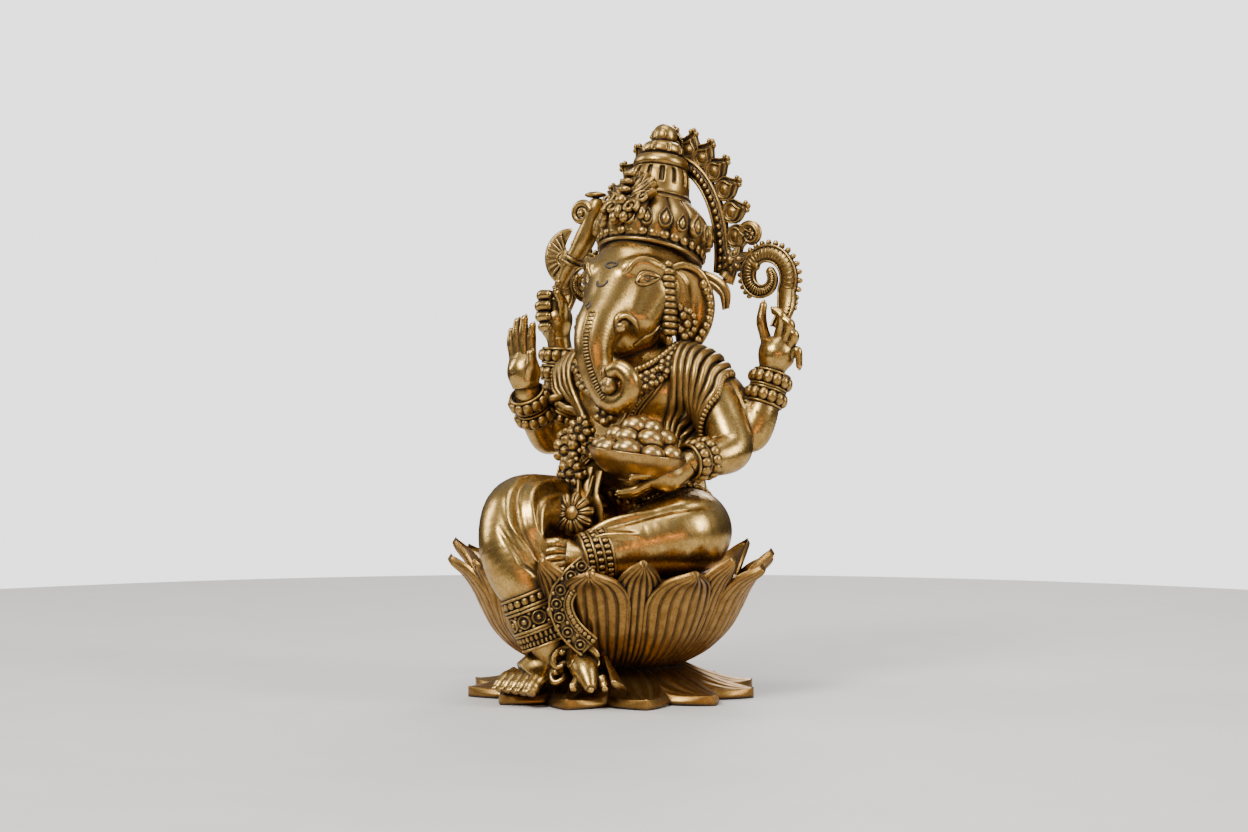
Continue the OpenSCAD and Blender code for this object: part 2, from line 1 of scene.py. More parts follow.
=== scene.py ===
import bpy
import numpy as np
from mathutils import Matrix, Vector


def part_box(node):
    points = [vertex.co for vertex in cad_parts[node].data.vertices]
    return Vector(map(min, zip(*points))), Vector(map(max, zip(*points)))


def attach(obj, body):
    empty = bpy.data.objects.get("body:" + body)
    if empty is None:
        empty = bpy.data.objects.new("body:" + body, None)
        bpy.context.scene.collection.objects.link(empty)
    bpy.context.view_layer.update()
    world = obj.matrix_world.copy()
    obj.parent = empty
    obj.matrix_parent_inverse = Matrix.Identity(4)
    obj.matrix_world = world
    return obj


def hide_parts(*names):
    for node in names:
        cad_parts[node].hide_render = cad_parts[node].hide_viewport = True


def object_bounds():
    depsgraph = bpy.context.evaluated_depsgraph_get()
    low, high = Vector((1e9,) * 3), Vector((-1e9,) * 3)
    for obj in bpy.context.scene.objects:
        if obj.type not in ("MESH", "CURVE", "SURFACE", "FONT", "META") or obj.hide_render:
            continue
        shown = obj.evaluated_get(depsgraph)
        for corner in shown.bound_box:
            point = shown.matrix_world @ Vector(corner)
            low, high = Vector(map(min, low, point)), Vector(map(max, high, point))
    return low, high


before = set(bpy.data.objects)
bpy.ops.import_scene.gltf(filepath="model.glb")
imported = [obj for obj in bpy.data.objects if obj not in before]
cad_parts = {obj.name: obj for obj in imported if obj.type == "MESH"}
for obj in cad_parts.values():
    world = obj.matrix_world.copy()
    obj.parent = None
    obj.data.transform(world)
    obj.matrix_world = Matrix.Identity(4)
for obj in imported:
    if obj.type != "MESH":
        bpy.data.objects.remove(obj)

cad_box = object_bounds()

# ---- Base plate ----
# A thick slab of twelve pointed petals with a raised middle, cast in one and filed flat underneath,
# where the whole figure rests. Each petal has a rolled edge and ribs that fan out to its tip.
FIGURE_HEIGHT = 164
mm = (cad_box[1][2] - cad_box[0][2]) / FIGURE_HEIGHT  # metres in one of the figure's millimetres
AROUND = 2 * np.pi


def span(node):
    """Lowest and highest corner of a node, in millimetres of the figure."""
    return tuple(np.array(corner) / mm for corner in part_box(node))


def steps(count, low=0.0, high=1.0):
    """A column of evenly spaced values, one for each row of a grid."""
    return np.linspace(low, high, count)[:, None]


def ring(count):
    """A row of evenly spaced angles round a section, one for each column of a grid."""
    return np.linspace(0, AROUND, count, endpoint=False)[None]


def through(points, count):
    """A smooth curve through the points: each stretch is the cubic whose slope at a point is half the
    step between that point's neighbours."""
    p = np.asarray(points, float)
    p = np.vstack([2 * p[0] - p[1], p, 2 * p[-1] - p[-2]])
    at = np.linspace(0, len(points) - 1, count)
    i = np.minimum(at.astype(int), len(points) - 2)
    t = (at - i)[:, None]
    a, b, c, d = p[i], p[i + 1], p[i + 2], p[i + 3]
    return 0.5 * (2 * b + (c - a) * t + (2 * a - 5 * b + 4 * c - d) * t**2 + (3 * b - a - 3 * c + d) * t**3)


def shell_mesh(name, shells):
    """One mesh of closed shells. A shell is a grid whose rows run along it and whose columns run round
    it; each end row is closed on its own middle point, and a shell with negative volume is turned."""
    points, faces, start = [], [], 0
    for shell in shells:
        rows, columns = shell.shape[-3:-1]
        grids = shell.reshape(-1, rows, columns, 3)
        body = grids.reshape(len(grids), -1, 3)
        places = np.concatenate([body, grids[:, :1].mean(2), grids[:, -1:].mean(2)], axis=1)
        here = np.arange(rows - 1)[:, None] * columns + np.arange(columns)
        beside = np.arange(rows - 1)[:, None] * columns + (np.arange(columns) + 1) % columns
        quads = np.stack([here, beside, beside + columns, here + columns], -1).reshape(-1, 4)
        edge = np.arange(columns)
        after = (edge + 1) % columns
        end = (rows - 1) * columns
        foot = np.stack([after, edge, np.full(columns, rows * columns)], -1)
        head = np.stack([edge + end, after + end, np.full(columns, rows * columns + 1)], -1)
        centred = places - places.mean(1, keepdims=True)
        a, b, c, d = (centred[:, quads[:, k]] for k in range(4))
        volume = np.einsum("kij,kij->k", a + c, np.cross(b - a, d - a) + np.cross(d - c, b - c))
        for k in range(len(grids)):
            flip = slice(None, None, -1 if volume[k] < 0 else 1)
            faces += (quads[:, flip] + start).tolist()
            faces += (np.concatenate([foot, head])[:, flip] + start).tolist()
            start += places.shape[1]
        points.append(places.reshape(-1, 3))
    mesh = bpy.data.meshes.new(name)
    mesh.from_pydata(np.concatenate(points) * mm, [], faces)
    mesh.polygons.foreach_set("use_smooth", np.ones(len(faces), bool))
    return mesh


def cast(name, shells, finish, slot, *nodes):
    """A finished brass piece on the figure's one body, standing for the nodes named."""
    piece = bpy.data.objects.new(name, shell_mesh(name, shells))
    bpy.context.collection.objects.link(piece)
    piece.data.materials.append(finish)
    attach(piece, "root")
    if nodes:
        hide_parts(*nodes)
    return piece


def patina_and_painted_shade_brass(name, gold, polish, depth, grain):
    """Brass darkened all over and then rubbed back: bright where it stands proud, dark brown patina where the
    metal is shut in closer than depth millimetres, with cloudy tone, faint scratches and casting grain. On
    top of the patina a painted shade darkens the colour broadly where the metal is shut in within seven times
    depth."""
    finish = bpy.data.materials.new(name)
    finish.use_nodes = True
    nodes, link = finish.node_tree.nodes, finish.node_tree.links.new
    shader = nodes["Principled BSDF"]

    def add(kind, **values):
        """A node with its settings, or its sockets where the name starts with a capital."""
        node = nodes.new(kind)
        for key, value in values.items():
            if hasattr(node, key) and not key[0].isupper():
                setattr(node, key, value)
            else:
                node.inputs[key.replace("_", " ")].default_value = value
        return node

    def noise(scale, detail, rough=0.55):
        """Cloudy noise that stays with the metal."""
        node = add("ShaderNodeTexNoise", Scale=scale, Detail=detail, Roughness=rough)
        link(place.outputs["Object"], node.inputs["Vector"])
        return node.outputs["Fac"]

    def band(value, low, high, to_low=0.0, to_high=1.0):
        """A straight step from to_low at low to to_high at high."""
        node = add("ShaderNodeMapRange", From_Min=low, From_Max=high, To_Min=to_low, To_Max=to_high)
        link(value, node.inputs["Value"])
        return node.outputs["Result"]

    def mix(factor, first, second):
        """First where factor is nothing, second where it is one."""
        node = add("ShaderNodeMix", data_type="RGBA")
        link(factor, node.inputs[0])
        for socket, value in ((node.inputs[6], first), (node.inputs[7], second)):
            if isinstance(value, tuple):
                socket.default_value = (*value, 1)
            else:
                link(value, socket)
        return node.outputs[2]

    def math(kind, first, second):
        """A sum, product or least value of two numbers."""
        node = add("ShaderNodeMath", operation=kind)
        for socket, value in zip(node.inputs, (first, second)):
            if isinstance(value, (int, float)):
                socket.default_value = value
            else:
                link(value, socket)
        return node.outputs[0]

    place = add("ShaderNodeTexCoord")
    figure = FIGURE_HEIGHT * mm
    near = add("ShaderNodeAmbientOcclusion", samples=6, Distance=1.25 * depth * mm)
    # Painted shade: this wide occlusion stands for the shade that falls in broad hollows and between parts.
    wide = add("ShaderNodeAmbientOcclusion", samples=4, Distance=7 * depth * mm)
    clouds = noise(55 / figure, 4)
    specks = noise(900 / figure, 5, 0.7)
    open_near = math("ADD", near.outputs["AO"], band(specks, 0.3, 0.7, -0.13, 0.13))
    shut = band(open_near, 0.6, 0.96, 1.0, 0.0)
    # Painted shade mask: strongest where the wide occlusion is low, in broad hollows and beside other parts.
    shaded = band(wide.outputs["AO"], 0.25, 0.8, 0.85, 0.0)
    tone = mix(band(clouds, 0.35, 0.7), gold, (0.62 * gold[0], 0.58 * gold[1], 0.5 * gold[2]))
    # Painted shade mixed into the colour: a deep brown copy of the gold wherever the painted shade mask is
    # high.
    tone = mix(shaded, tone, (gold[0] * 0.42, gold[1] * 0.34, gold[2] * 0.22))
    pits = noise(420 / figure, 4, 0.75)
    tone = mix(band(pits, 0.49, 0.38, 0.0, 0.7), tone, (gold[0] * 0.3, gold[1] * 0.24, gold[2] * 0.16))
    darkest = (0.014, 0.0095, 0.005)
    link(mix(math("MINIMUM", shut, 0.96), tone, darkest), shader.inputs["Base Color"])
    dull = math("ADD", band(clouds, 0.3, 0.75, polish, polish + 0.1), band(specks, 0.35, 0.7, 0.0, 0.08))
    link(math("ADD", dull, math("MULTIPLY", shut, 0.35)), shader.inputs["Roughness"])
    link(band(shut, 0.2, 1.0, 1.0, 0.4), shader.inputs["Metallic"])
    bump = add("ShaderNodeBump", Strength=0.35, Distance=grain * mm)
    link(math("ADD", specks, math("MULTIPLY", noise(260 / figure, 3), 1.6)), bump.inputs["Height"])
    link(bump.outputs["Normal"], shader.inputs["Normal"])
    return finish


petal_brass = patina_and_painted_shade_brass("petal_brass", (0.37, 0.21, 0.06), 0.29, 1.0, 0.06)
plate_tip = span("base_plate")[1][0] - 0.3


def base_petal(turn, rows=56, columns=112):
    """A petal lying outward at an angle: its half width swells, then closes to a point by a power of the
    distance along it. Its top falls from the cup like a power of the distance to the tip, is crowned
    across, scored by narrow grooves that fan out, rolled at the thin edge and lifted at the tip."""
    t, v = steps(rows), ring(columns)
    across, rise = np.cos(v), np.sin(v)
    past = np.clip((t - 0.4) / 0.6, 0, 1)
    half = 10.4 * (0.7 + 0.3 * np.sin(np.pi * np.clip(t / 0.4, 0, 1) / 2)) * (1.0005 - past**2.2) ** 0.78
    out = 13 + (plate_tip - 13) * t
    score = np.abs(np.cos(np.pi * 2.5 * across)) ** 7 * (1 - np.abs(across) ** 8) * (1 - t**6)
    roll = 0.95 * np.exp(-(((np.abs(across) - 0.8) / 0.13) ** 2)) * (0.5 + 0.5 * t)
    crest, edge = 1.8 + 10.9 * (1 - t) ** 1.35 + 1.3 * t**5, 1.5 + 6.2 * (1 - t) ** 2 + 0.9 * t**6
    top = edge + (crest - edge) * (1 - np.abs(across) ** 2.4) + (roll - 0.85 * score) * (1 - t**8)
    lift = np.clip(np.abs(rise) * 1.7, 0, 1) ** 0.7
    waist = 0.45 * edge
    z = np.where(rise > 0, waist + (top - waist) * lift, waist * (1 - lift))
    side = half * across
    x = out * np.cos(turn) - side * np.sin(turn)
    y = out * np.sin(turn) + side * np.cos(turn)
    return np.stack([x + 0 * z, y + 0 * z, z], -1)


def turned(profile, columns=160, modulate=None):
    """A lathe shape: a profile of radius and height carried once round the axis; modulate gives a
    radial change as a function of row and angle."""
    angle = ring(columns)
    r = profile[:, :1] + (0 if modulate is None else modulate(steps(len(profile)), angle))
    return np.stack([r * np.cos(angle), r * np.sin(angle), profile[:, 1:2] + 0 * angle], -1)


plate_turns = np.radians(18 + 30 * np.arange(12))
plate_dome = through([(1, 0.3), (22, 0.3), (24, 3), (21, 5.6), (17, 6.4), (1, 6.8)], 40)
cast("base_plate_petals", [base_petal(turn) for turn in plate_turns] + [turned(plate_dome)], petal_brass,
     "brass_body", "base_plate")

# ---- Lotus cup and its petals ----
# The bulb is one rounded mass; twenty petals pressed from wax sheet are laid on it with their
# edges lapped, scored lengthwise with a comb and curled out at the rim.
cup_low, cup_high = span("lotus_cup")
cup_radius = (cup_high[0] - cup_low[0]) / 2
cup_profile = through([(1, 7), (14, 8.2), (20.4, 11.1), (26.6, 15), (31, 19.6), (33.7, 25), (34.8, 31),
                       (33, 34.2), (1, 34.6)], 60)
DRAWN_RADIUS = 36.5  # the node's radius that the profile above is drawn for
cast("lotus_cup_bulb", [turned(cup_profile * [cup_radius / DRAWN_RADIUS, 1])], petal_brass, "brass_body",
     "lotus_cup")
CUP_SIDE = [(14.5, 8.2), (21, 10.8), (27.4, 14.6), (32, 19.4), (35, 25), (37.4, 30.4), (40.8, 35.2),
            (45.4, 38.2)]
LEG_TURN = np.radians(-101)  # where the hanging leg presses the rim down


def cup_petal(turn, half_angle, lift, tall, rows=60, columns=144):
    """A petal on the bulb: its middle line climbs the cup's side and flares at the rim, higher at the
    back than in front and pressed in under the leg; across, it spans an angle that closes to a blunt
    point. The outside is scored by narrow cosine grooves; the tip is thick and turned over."""
    t, v = steps(rows), ring(columns)
    across, rise = np.cos(v), np.sin(v)
    line = through(CUP_SIDE, rows)
    rim = tall + 1.8 * (1 - np.cos(turn + 0.96)) - 1.0 * np.sin(turn + 0.96)
    r, z = line[:, :1] + lift, line[:, 1:2] + rim * t**3
    past = np.clip((t - 0.62) / 0.38, 0, 1)
    reach = (half_angle * (0.8 + 0.2 * np.sin(np.pi * np.clip(t / 0.62, 0, 1) / 2))
             * (1.0008 - past**2) ** 0.86)
    angle = turn + reach * across
    pressed = (np.exp(-((np.angle(np.exp(1j * (angle - LEG_TURN))) / 0.27) ** 4))
               * np.clip((t - 0.35) / 0.3, 0, 1))
    score = (np.abs(np.cos(np.pi * 3.5 * across + 0.5 * np.sin(3 * t + turn * 3))) ** 10
             * (1 - np.abs(across) ** 10))
    thick = (0.7 + 0.7 * t**5) * (1 - 0.8 * past**12)
    bow = 1.5 * (1 - across**2) * (0.2 + t)
    edge = 0.5 * np.exp(-(((np.abs(across) - 0.9) / 0.1) ** 2)) * t
    outer = (thick * np.abs(rise) ** 0.5 * np.sign(rise)
             + np.where(rise > 0, edge - 0.9 * score * (1 - t**12), 0))
    slope = np.gradient(line, axis=0)
    slope = slope / np.linalg.norm(slope, axis=1, keepdims=True)
    r = r + (bow + outer) * slope[:, 1:2]
    z = z - (bow + outer) * slope[:, :1] - 1.6 * t**4 * across**2 * (1 - past) + 0.7 * past**4 * (rise > 0)
    r = r - pressed * np.clip(r - 35.2, 0, 20)
    z = z - pressed * np.clip(z - 30.5, 0, 20)
    return np.stack([r * np.cos(angle), r * np.sin(angle), z + 0 * angle], -1)


petal_turns = np.radians(10 + 36 * np.arange(10))
front_row = [cup_petal(turn, 0.27, 0.9 + 0.35 * (k % 2), -0.6) for k, turn in enumerate(petal_turns)]
cast("cup_petals_front_row", front_row, petal_brass, "brass_body", "cup_petals_outer")
cast("cup_petals_back_row", [cup_petal(turn + AROUND / 20, 0.2, 0.1, 2.6) for turn in petal_turns],
     petal_brass, "brass_body", "cup_petals_inner")

# ---- Legs and torso ----
# The flesh was modelled over a wax core and cast hollow with the cup: a sitting hip, a round belly and
# chest, the left leg folded flat and the right one hanging over the rim, in a thin cloth with soft folds.
TORSO = [
    [(-9, 14, 47, 14), (9, 14, 47, 14)], [(-3, 11.5, 65, 16.5), (3, 11.5, 65, 16.5)],
    [(-8, 13, 86, 11), (0, 12.4, 84, 12.5), (8, 13, 86, 11)],
    [(-22, 14.5, 90.5, 5.6), (0, 14.4, 95, 7.6), (22, 14.5, 90.5, 5.6)], [(0, 14, 94, 9), (0, 13, 108, 8.6)],
]
LEG_LEFT = [(9, 9, 47, 11), (23.5, 4, 47, 12), (25.8, -4.5, 46.4, 11.4), (18.6, -14.5, 43.6, 9.2),
            (13, -21, 41.8, 7.2), (9.4, -25.6, 40.2, 5.4)]
LEG_RIGHT = [(-9, 4, 49.5, 11), (-11, -14, 51.5, 11), (-11.6, -28, 52.4, 10), (-9.4, -34.6, 44.6, 9.4),
             (-6, -36.6, 36.4, 8.2), (-2.8, -36, 30, 6.5), (1, -33.8, 19.6, 5), (1.6, -31.4, 12, 4.4)]
FLESH = TORSO + [LEG_LEFT, LEG_RIGHT]
skin_brass = patina_and_painted_shade_brass("skin_brass", (0.53, 0.345, 0.11), 0.2, 1.0, 0.04)


def unit(v):
    """Vectors divided by their own length."""
    return v / np.maximum(np.linalg.norm(v, axis=-1, keepdims=True), 1e-9)


def height_above(places, chains, blend=1.3):
    """How far places lie above the flesh: each chain is a row of round cones, the nearest of which
    counts, and chains melt together as -blend log of the sum of exp(-distance/blend)."""
    total = 0
    for chain in chains:
        dense = through(chain, 6 * len(chain) - 5)
        nearest = np.full(places.shape[:-1], 1e9)
        for a, b in zip(dense[:-1], dense[1:]):
            run = b[:3] - a[:3]
            h = np.clip(((places - a[:3]) @ run) / (run @ run), 0, 1)
            gap = np.linalg.norm(places - a[:3] - h[..., None] * run, axis=-1) - a[3] - (b[3] - a[3]) * h
            nearest = np.minimum(nearest, gap)
        total = total + np.exp(-np.minimum(nearest, 60) / blend)
    return -blend * np.log(np.maximum(total, 1e-30))


def frames(path, up):
    """Directions square to a path: side is up crossed with its run, front is its run crossed with side."""
    run = unit(np.gradient(path, axis=0))
    side = unit(np.cross(np.broadcast_to(up, run.shape), run))
    return side, np.cross(run, side)


def skin(path, up, chains, reach, columns=96, blend=1.3, relief=None):
    """The outside of the flesh round a path: on each ray square to the path the point starts at reach
    and steps in by its height above the flesh until that is nothing; relief then moves it outward."""
    side, front = frames(path, up)
    angle = ring(columns)
    ray = side[:, None] * np.cos(angle)[..., None] + front[:, None] * np.sin(angle)[..., None]
    limit = (np.ravel(reach) * np.ones(len(path)))[:, None] + 0 * angle
    out = limit
    for _ in range(16):
        out = np.clip(out - 0.92 * height_above(path[:, None] + ray * out[..., None], chains, blend), 0.3,
                      limit)
    if relief is not None:
        out = out + relief(steps(len(path)), angle)
    return path[:, None] + ray * out[..., None]


def settle(places, chains, lift, blend=1.3):
    """Places moved along the slope of the height above the flesh until it equals lift."""
    places = np.array(places, float)
    for _ in range(5):
        high = height_above(places, chains, blend)
        slope = np.stack([height_above(places + 0.05 * way, chains, blend) - high for way in np.eye(3)], -1)
        places = places - (high - lift)[..., None] * unit(slope)
    return places, unit(slope)


def folds(waves):
    """Soft creases: each wave is a ridge line that runs from one row and angle to another, with a
    rounded-wedge section of its own width and height, fading at both ends as a sine."""
    def relief(t, angle):
        total = 0
        for t0, a0, t1, a1, width, high in waves:
            s = np.clip((t - t0) / (t1 - t0), 0, 1)
            off = np.angle(np.exp(1j * (angle - np.radians(a0 + (a1 - a0) * s))))
            total = total + high * np.sin(np.pi * s) ** 0.7 * np.exp(-((off / np.radians(width)) ** 2))
        return total
    return relief


torso_path = through([(0, 14, 34), (0, 13, 60), (0, 13, 84), (0, 13, 108)], 110)
cast("torso_flesh", [skin(torso_path, (0, -1, 0), TORSO, 33, 140)], skin_brass, "brass_body", "torso")
left_folds = folds([(0.52, 60, 0.97, 95, 8, 1.5), (0.45, 95, 0.95, 120, 6, -1.4),
                    (0.6, 20, 0.97, 60, 7, 1.3), (0.56, 130, 0.95, 160, 7, 1.2),
                    (0.3, 40, 0.9, 75, 6, -1.2), (0.62, 78, 0.97, 110, 5, 1.0)])
left_path = through(np.array(LEG_LEFT)[:, :3], 120)
cast("leg_left_flesh", [skin(left_path, (0, 0, 1), [LEG_LEFT], 15, 128, relief=left_folds)], skin_brass,
     "brass_body", "leg_left")
right_folds = folds([(0.1, 60, 0.68, 20, 8, 1.5), (0.2, 75, 0.8, 40, 6, -1.5), (0.3, 85, 0.88, 60, 6, 1.3),
                     (0.18, 35, 0.6, 10, 6, -1.2), (0.42, 100, 0.92, 85, 5, -1.2),
                     (0.45, 30, 0.9, 35, 6, 1.1)])
right_path = through(np.array(LEG_RIGHT)[:, :3], 140)
cast("leg_right_flesh", [skin(right_path, (0, -0.2, 1), [LEG_RIGHT], 15, 128, relief=right_folds)],
     skin_brass, "brass_body", "leg_right")

# ---- Feet ----
# Bare feet with rounded toes and cut nails: the left one lies sole inward on the seat, the right one
# rests its heel on the base plate.


def tube(path, radius, up, columns=14, flat=1.0, squeeze=1.0):
    """A soft round bar: the path plus side times radius*flat*cos and front times radius*squeeze*sin."""
    side, front = frames(path, up)
    angle = ring(columns)
    r = (np.ravel(radius) * np.ones(len(path)))[:, None]
    across = (r * flat * np.cos(angle))[..., None] * side[:, None]
    return path[:, None] + across + (r * squeeze * np.sin(angle))[..., None] * front[:, None]


def digit(places, up, rows=26, columns=16):
    """A finger or toe through places of x, y, z, radius: a tube that closes at both ends as the square
    root of a parabola, and swells a little at its joints as a squared sine."""
    line = through(places, rows)
    t = np.linspace(0, 1, rows)
    round_end = np.sqrt(np.clip(1 - np.clip((t - 0.9) / 0.1, 0, 1) ** 2, 0.02, 1))
    swell = 1 + 0.07 * np.sin(np.pi * (len(places) - 1) * t + np.pi / 2) ** 2
    return tube(line[:, :3], line[:, 3] * round_end * swell, up, columns)


def eggs(places, sizes, side=(1, 0, 0), front=(0, 1, 0), run=(0, 0, 1), rows=7, columns=12):
    """Rounded beads: the unit sphere stretched by sizes along three directions and moved to places."""
    low, lon = np.linspace(-1.38, 1.38, rows)[:, None], ring(columns)
    ball = np.stack([np.cos(low) * np.cos(lon), np.cos(low) * np.sin(lon), np.sin(low) + 0 * lon], -1)
    places = np.atleast_2d(places)
    axes = np.stack([np.broadcast_to(a, places.shape) for a in (side, front, run)], 1)
    sizes = np.broadcast_to(sizes, places.shape)
    return places[:, None, None] + np.einsum("rci,kij->krcj", ball, axes * sizes[..., None])


def foot_shells(sole, toes, up):
    """A foot: a blended skin over the heel, arch and ball, and five digits with a nail on each."""
    path = through(np.array(sole)[:, :3], 60)
    chains = [sole] + [toe[:2] for toe in toes]
    shells = [skin(path, up, chains, 11, 60, blend=0.8)]
    for toe in toes:
        toe = np.array(toe)
        run = unit(toe[-1, :3] - toe[-2, :3])
        top = unit(np.array(up) - run * (run @ np.array(up)))
        shells.append(digit(toe, up))
        nail = toe[-1, :3] - 0.15 * toe[-1, 3] * run + 0.8 * toe[-1, 3] * top
        shells.append(eggs(nail, (0.62 * toe[-1, 3], 0.22 * toe[-1, 3], 0.75 * toe[-1, 3]),
                           np.cross(run, top), top, run))
    return shells


toe_spread = np.linspace(0, 1, 5)[:, None]
left_toes = np.stack([np.array([5.2, -28.6, 43.6, 1.7]) + toe_spread * [0.6, -1.6, -6.4, -0.1],
                      np.array([3, -30.8, 44.4, 1.7]) + toe_spread * [0.4, -1.6, -8.2, -0.3],
                      np.array([1, -32, 44.2, 1.65]) + toe_spread * [0.9, -1.6, -8.8, -0.35],
                      np.array([0, -31.6, 43.4, 1.4]) + toe_spread * [0.9, -1.6, -8.6, -0.3]], 1)
cast("foot_left_flesh", foot_shells([(11, -25, 40, 4.3), (8, -27.6, 39.8, 4.4), (5.2, -29.8, 40.2, 3.9)],
                                    left_toes, (-0.5, -0.7, 0.6)), skin_brass, "brass_body", "foot_left")
right_toes = np.stack([np.array([-7.6, -35.2, 8.2, 2.0]) + toe_spread * [9.6, 0.6, 0.4, 0.3],
                       np.array([-8.6, -38.2, 7.0, 2.0]) + toe_spread * [11, -0.6, 0.4, 0.3],
                       np.array([-9.2, -40.2, 5.4, 1.9]) + toe_spread * [11.8, -1.4, 0.2, 0.3],
                       np.array([-9.6, -41.6, 4.2, 1.5]) + toe_spread * [12.2, -1.6, 0, 0.4]], 1)
cast("foot_right_flesh", foot_shells([(1.0, -29.4, 12, 5.2), (-1, -32.6, 10.2, 5.2), (-3.4, -35.6, 7.6, 4.6)],
                                     right_toes, (0, -0.2, 1)), skin_brass, "brass_body", "foot_right")

# ---- Arms ----
# Four arms grow from the two shoulders, each pair from one point: the front left carries the bowl, the
# front right blesses, the rear ones rise. They are plain rounded castings filed smooth.
ARM_FRONT_LEFT = [(19, 14, 90, 6.6), (25, 14, 84.5, 6.8), (30.4, 13, 76, 6.4), (33.8, 10.6, 70, 5.9),
                  (32.8, 4, 67.6, 5), (30, -2, 67, 3.9), (27, -5.2, 65, 3.4)]
ARM_REAR_LEFT = [(19, 18, 90, 6), (25, 20, 85, 6.4), (30, 21, 77.5, 5.9), (33, 21.6, 74.4, 5.6),
                 (35.2, 23.4, 79.5, 5.1), (36.6, 25.8, 87.6, 4), (37.4, 26.4, 93, 3.4)]
ARM_FRONT_RIGHT = [(-19, 13, 90, 6.6), (-25.5, 13, 83.5, 7), (-29.6, 13.2, 76, 6), (-31.4, 11.6, 72.8, 5.2),
                   (-31.4, 7, 77, 4.8), (-31, 1.6, 84, 3.9), (-31.4, 0.2, 89.4, 3.4)]
ARM_REAR_RIGHT = [(-19, 18, 90, 6), (-28, 21.5, 84.5, 6.3), (-34, 23.6, 79.6, 5.4), (-37, 24.2, 80, 5),
                  (-37.4, 24.6, 87.5, 4.6), (-36.8, 24.6, 97.5, 3.9), (-36.8, 24, 103, 3.4)]


def arm_shell(chain, up):
    """An arm's skin: rays start at 1.4 times the chain's own radius and step in to the flesh."""
    path = through(np.array(chain)[:, :3], 96)
    reach = 1.4 * through(np.array(chain), 96)[:, 3:]
    return skin(path, up, [chain], reach, 64)


for side_name, chain, up in (("front_left", ARM_FRONT_LEFT, (1, 0.1, 0.35)),
                             ("rear_left", ARM_REAR_LEFT, (0, -1, 0.2)),
                             ("front_right", ARM_FRONT_RIGHT, (-1, 0.2, 0.35)),
                             ("rear_right", ARM_REAR_RIGHT, (0, -1, 0))):
    cast("arm_" + side_name + "_flesh", [arm_shell(chain, up)], skin_brass, "brass_body", "arm_" + side_name)
FLESH += [ARM_FRONT_LEFT, ARM_REAR_LEFT, ARM_FRONT_RIGHT, ARM_REAR_RIGHT]

# ---- Hands ----
# Slender fingers with soft joints and small nails. The blessing palm carries a cut scroll, and the rear
# hands close round the axe's handle and the tail of the scrollwork.


def hand_shells(wrist, palm, fingers, nail_way, palm_up):
    """A hand: a blended skin round wrist, palm and the roots of the fingers, then five digits, each with
    a nail on the side that nail_way points to."""
    roots = np.array([finger[0][:3] for finger in fingers[:4]])
    path = through([wrist[:3], palm[:3], roots.mean(0), 2 * roots.mean(0) - palm[:3]], 48)
    chains = [[wrist, palm], [palm, (*roots[0], 1.35)], [palm, (*roots[3], 1.35)],
              [palm, (*roots[1:3].mean(0), 1.5)], [palm, fingers[4][0]]]
    shells = [skin(path, palm_up, chains, 7.5, 64, blend=0.9)]
    for finger in fingers:
        finger = np.array(finger)
        run = unit(finger[-1, :3] - finger[-2, :3])
        top = unit(np.array(nail_way, float) - run * (run @ np.array(nail_way)))
        shells.append(digit(finger, nail_way, 28, 14))
        r = finger[-1, 3]
        nail = finger[-1, :3] - 0.6 * r * run + 0.66 * r * top
        shells.append(eggs(nail, (0.62 * r, 0.34 * r, 1.05 * r), np.cross(run, top), top, run))
    return shells


def speckled(name, scale, dark, light):
    """A plain matte finish: noise on Object coordinates turned into a tone between dark and light."""
    finish = bpy.data.materials.new(name)
    finish.use_nodes = True
    nodes, link = finish.node_tree.nodes, finish.node_tree.links.new
    shader = nodes["Principled BSDF"]
    shader.inputs["Roughness"].default_value = 0.6
    spots = nodes.new("ShaderNodeTexNoise")
    spots.inputs["Scale"].default_value = scale
    place = nodes.new("ShaderNodeTexCoord")
    tone = nodes.new("ShaderNodeValToRGB")
    tone.color_ramp.elements[0].color = dark
    tone.color_ramp.elements[1].color = light
    link(place.outputs["Object"], spots.inputs["Vector"])
    link(spots.outputs["Fac"], tone.inputs["Fac"])
    link(tone.outputs["Color"], shader.inputs["Base Color"])
    return finish


tarnish = speckled("tarnish", 900, (0.012, 0.008, 0.004, 1), (0.06, 0.04, 0.02, 1))
blessing = hand_shells((-31.2, 0.2, 87.6, 3.6), (-31.5, -0.4, 92, 3.5), [
    [(-34.7, -0.8, 96, 1.45), (-35.3, -1.4, 100.8, 1.35), (-35.2, -1.2, 105.2, 0.95)],
    [(-32.7, -1.2, 97, 1.5), (-33, -1.8, 103, 1.4), (-32.8, -1.6, 108, 1)],
    [(-30.5, -1.2, 97, 1.5), (-30.5, -1.8, 103.4, 1.4), (-30.3, -1.6, 108.8, 1)],
    [(-28.4, -0.7, 96.4, 1.45), (-28.1, -1.2, 102, 1.35), (-27.7, -1, 106.6, 0.95)],
    [(-29, -1.8, 89, 1.9), (-26.8, -3, 94, 1.6), (-27, -3, 98.6, 1.15)]], (0.2, 1, 0), (1, 0, 0))
cast("hand_front_right_flesh", blessing, skin_brass, "brass_body", "hand_front_right")
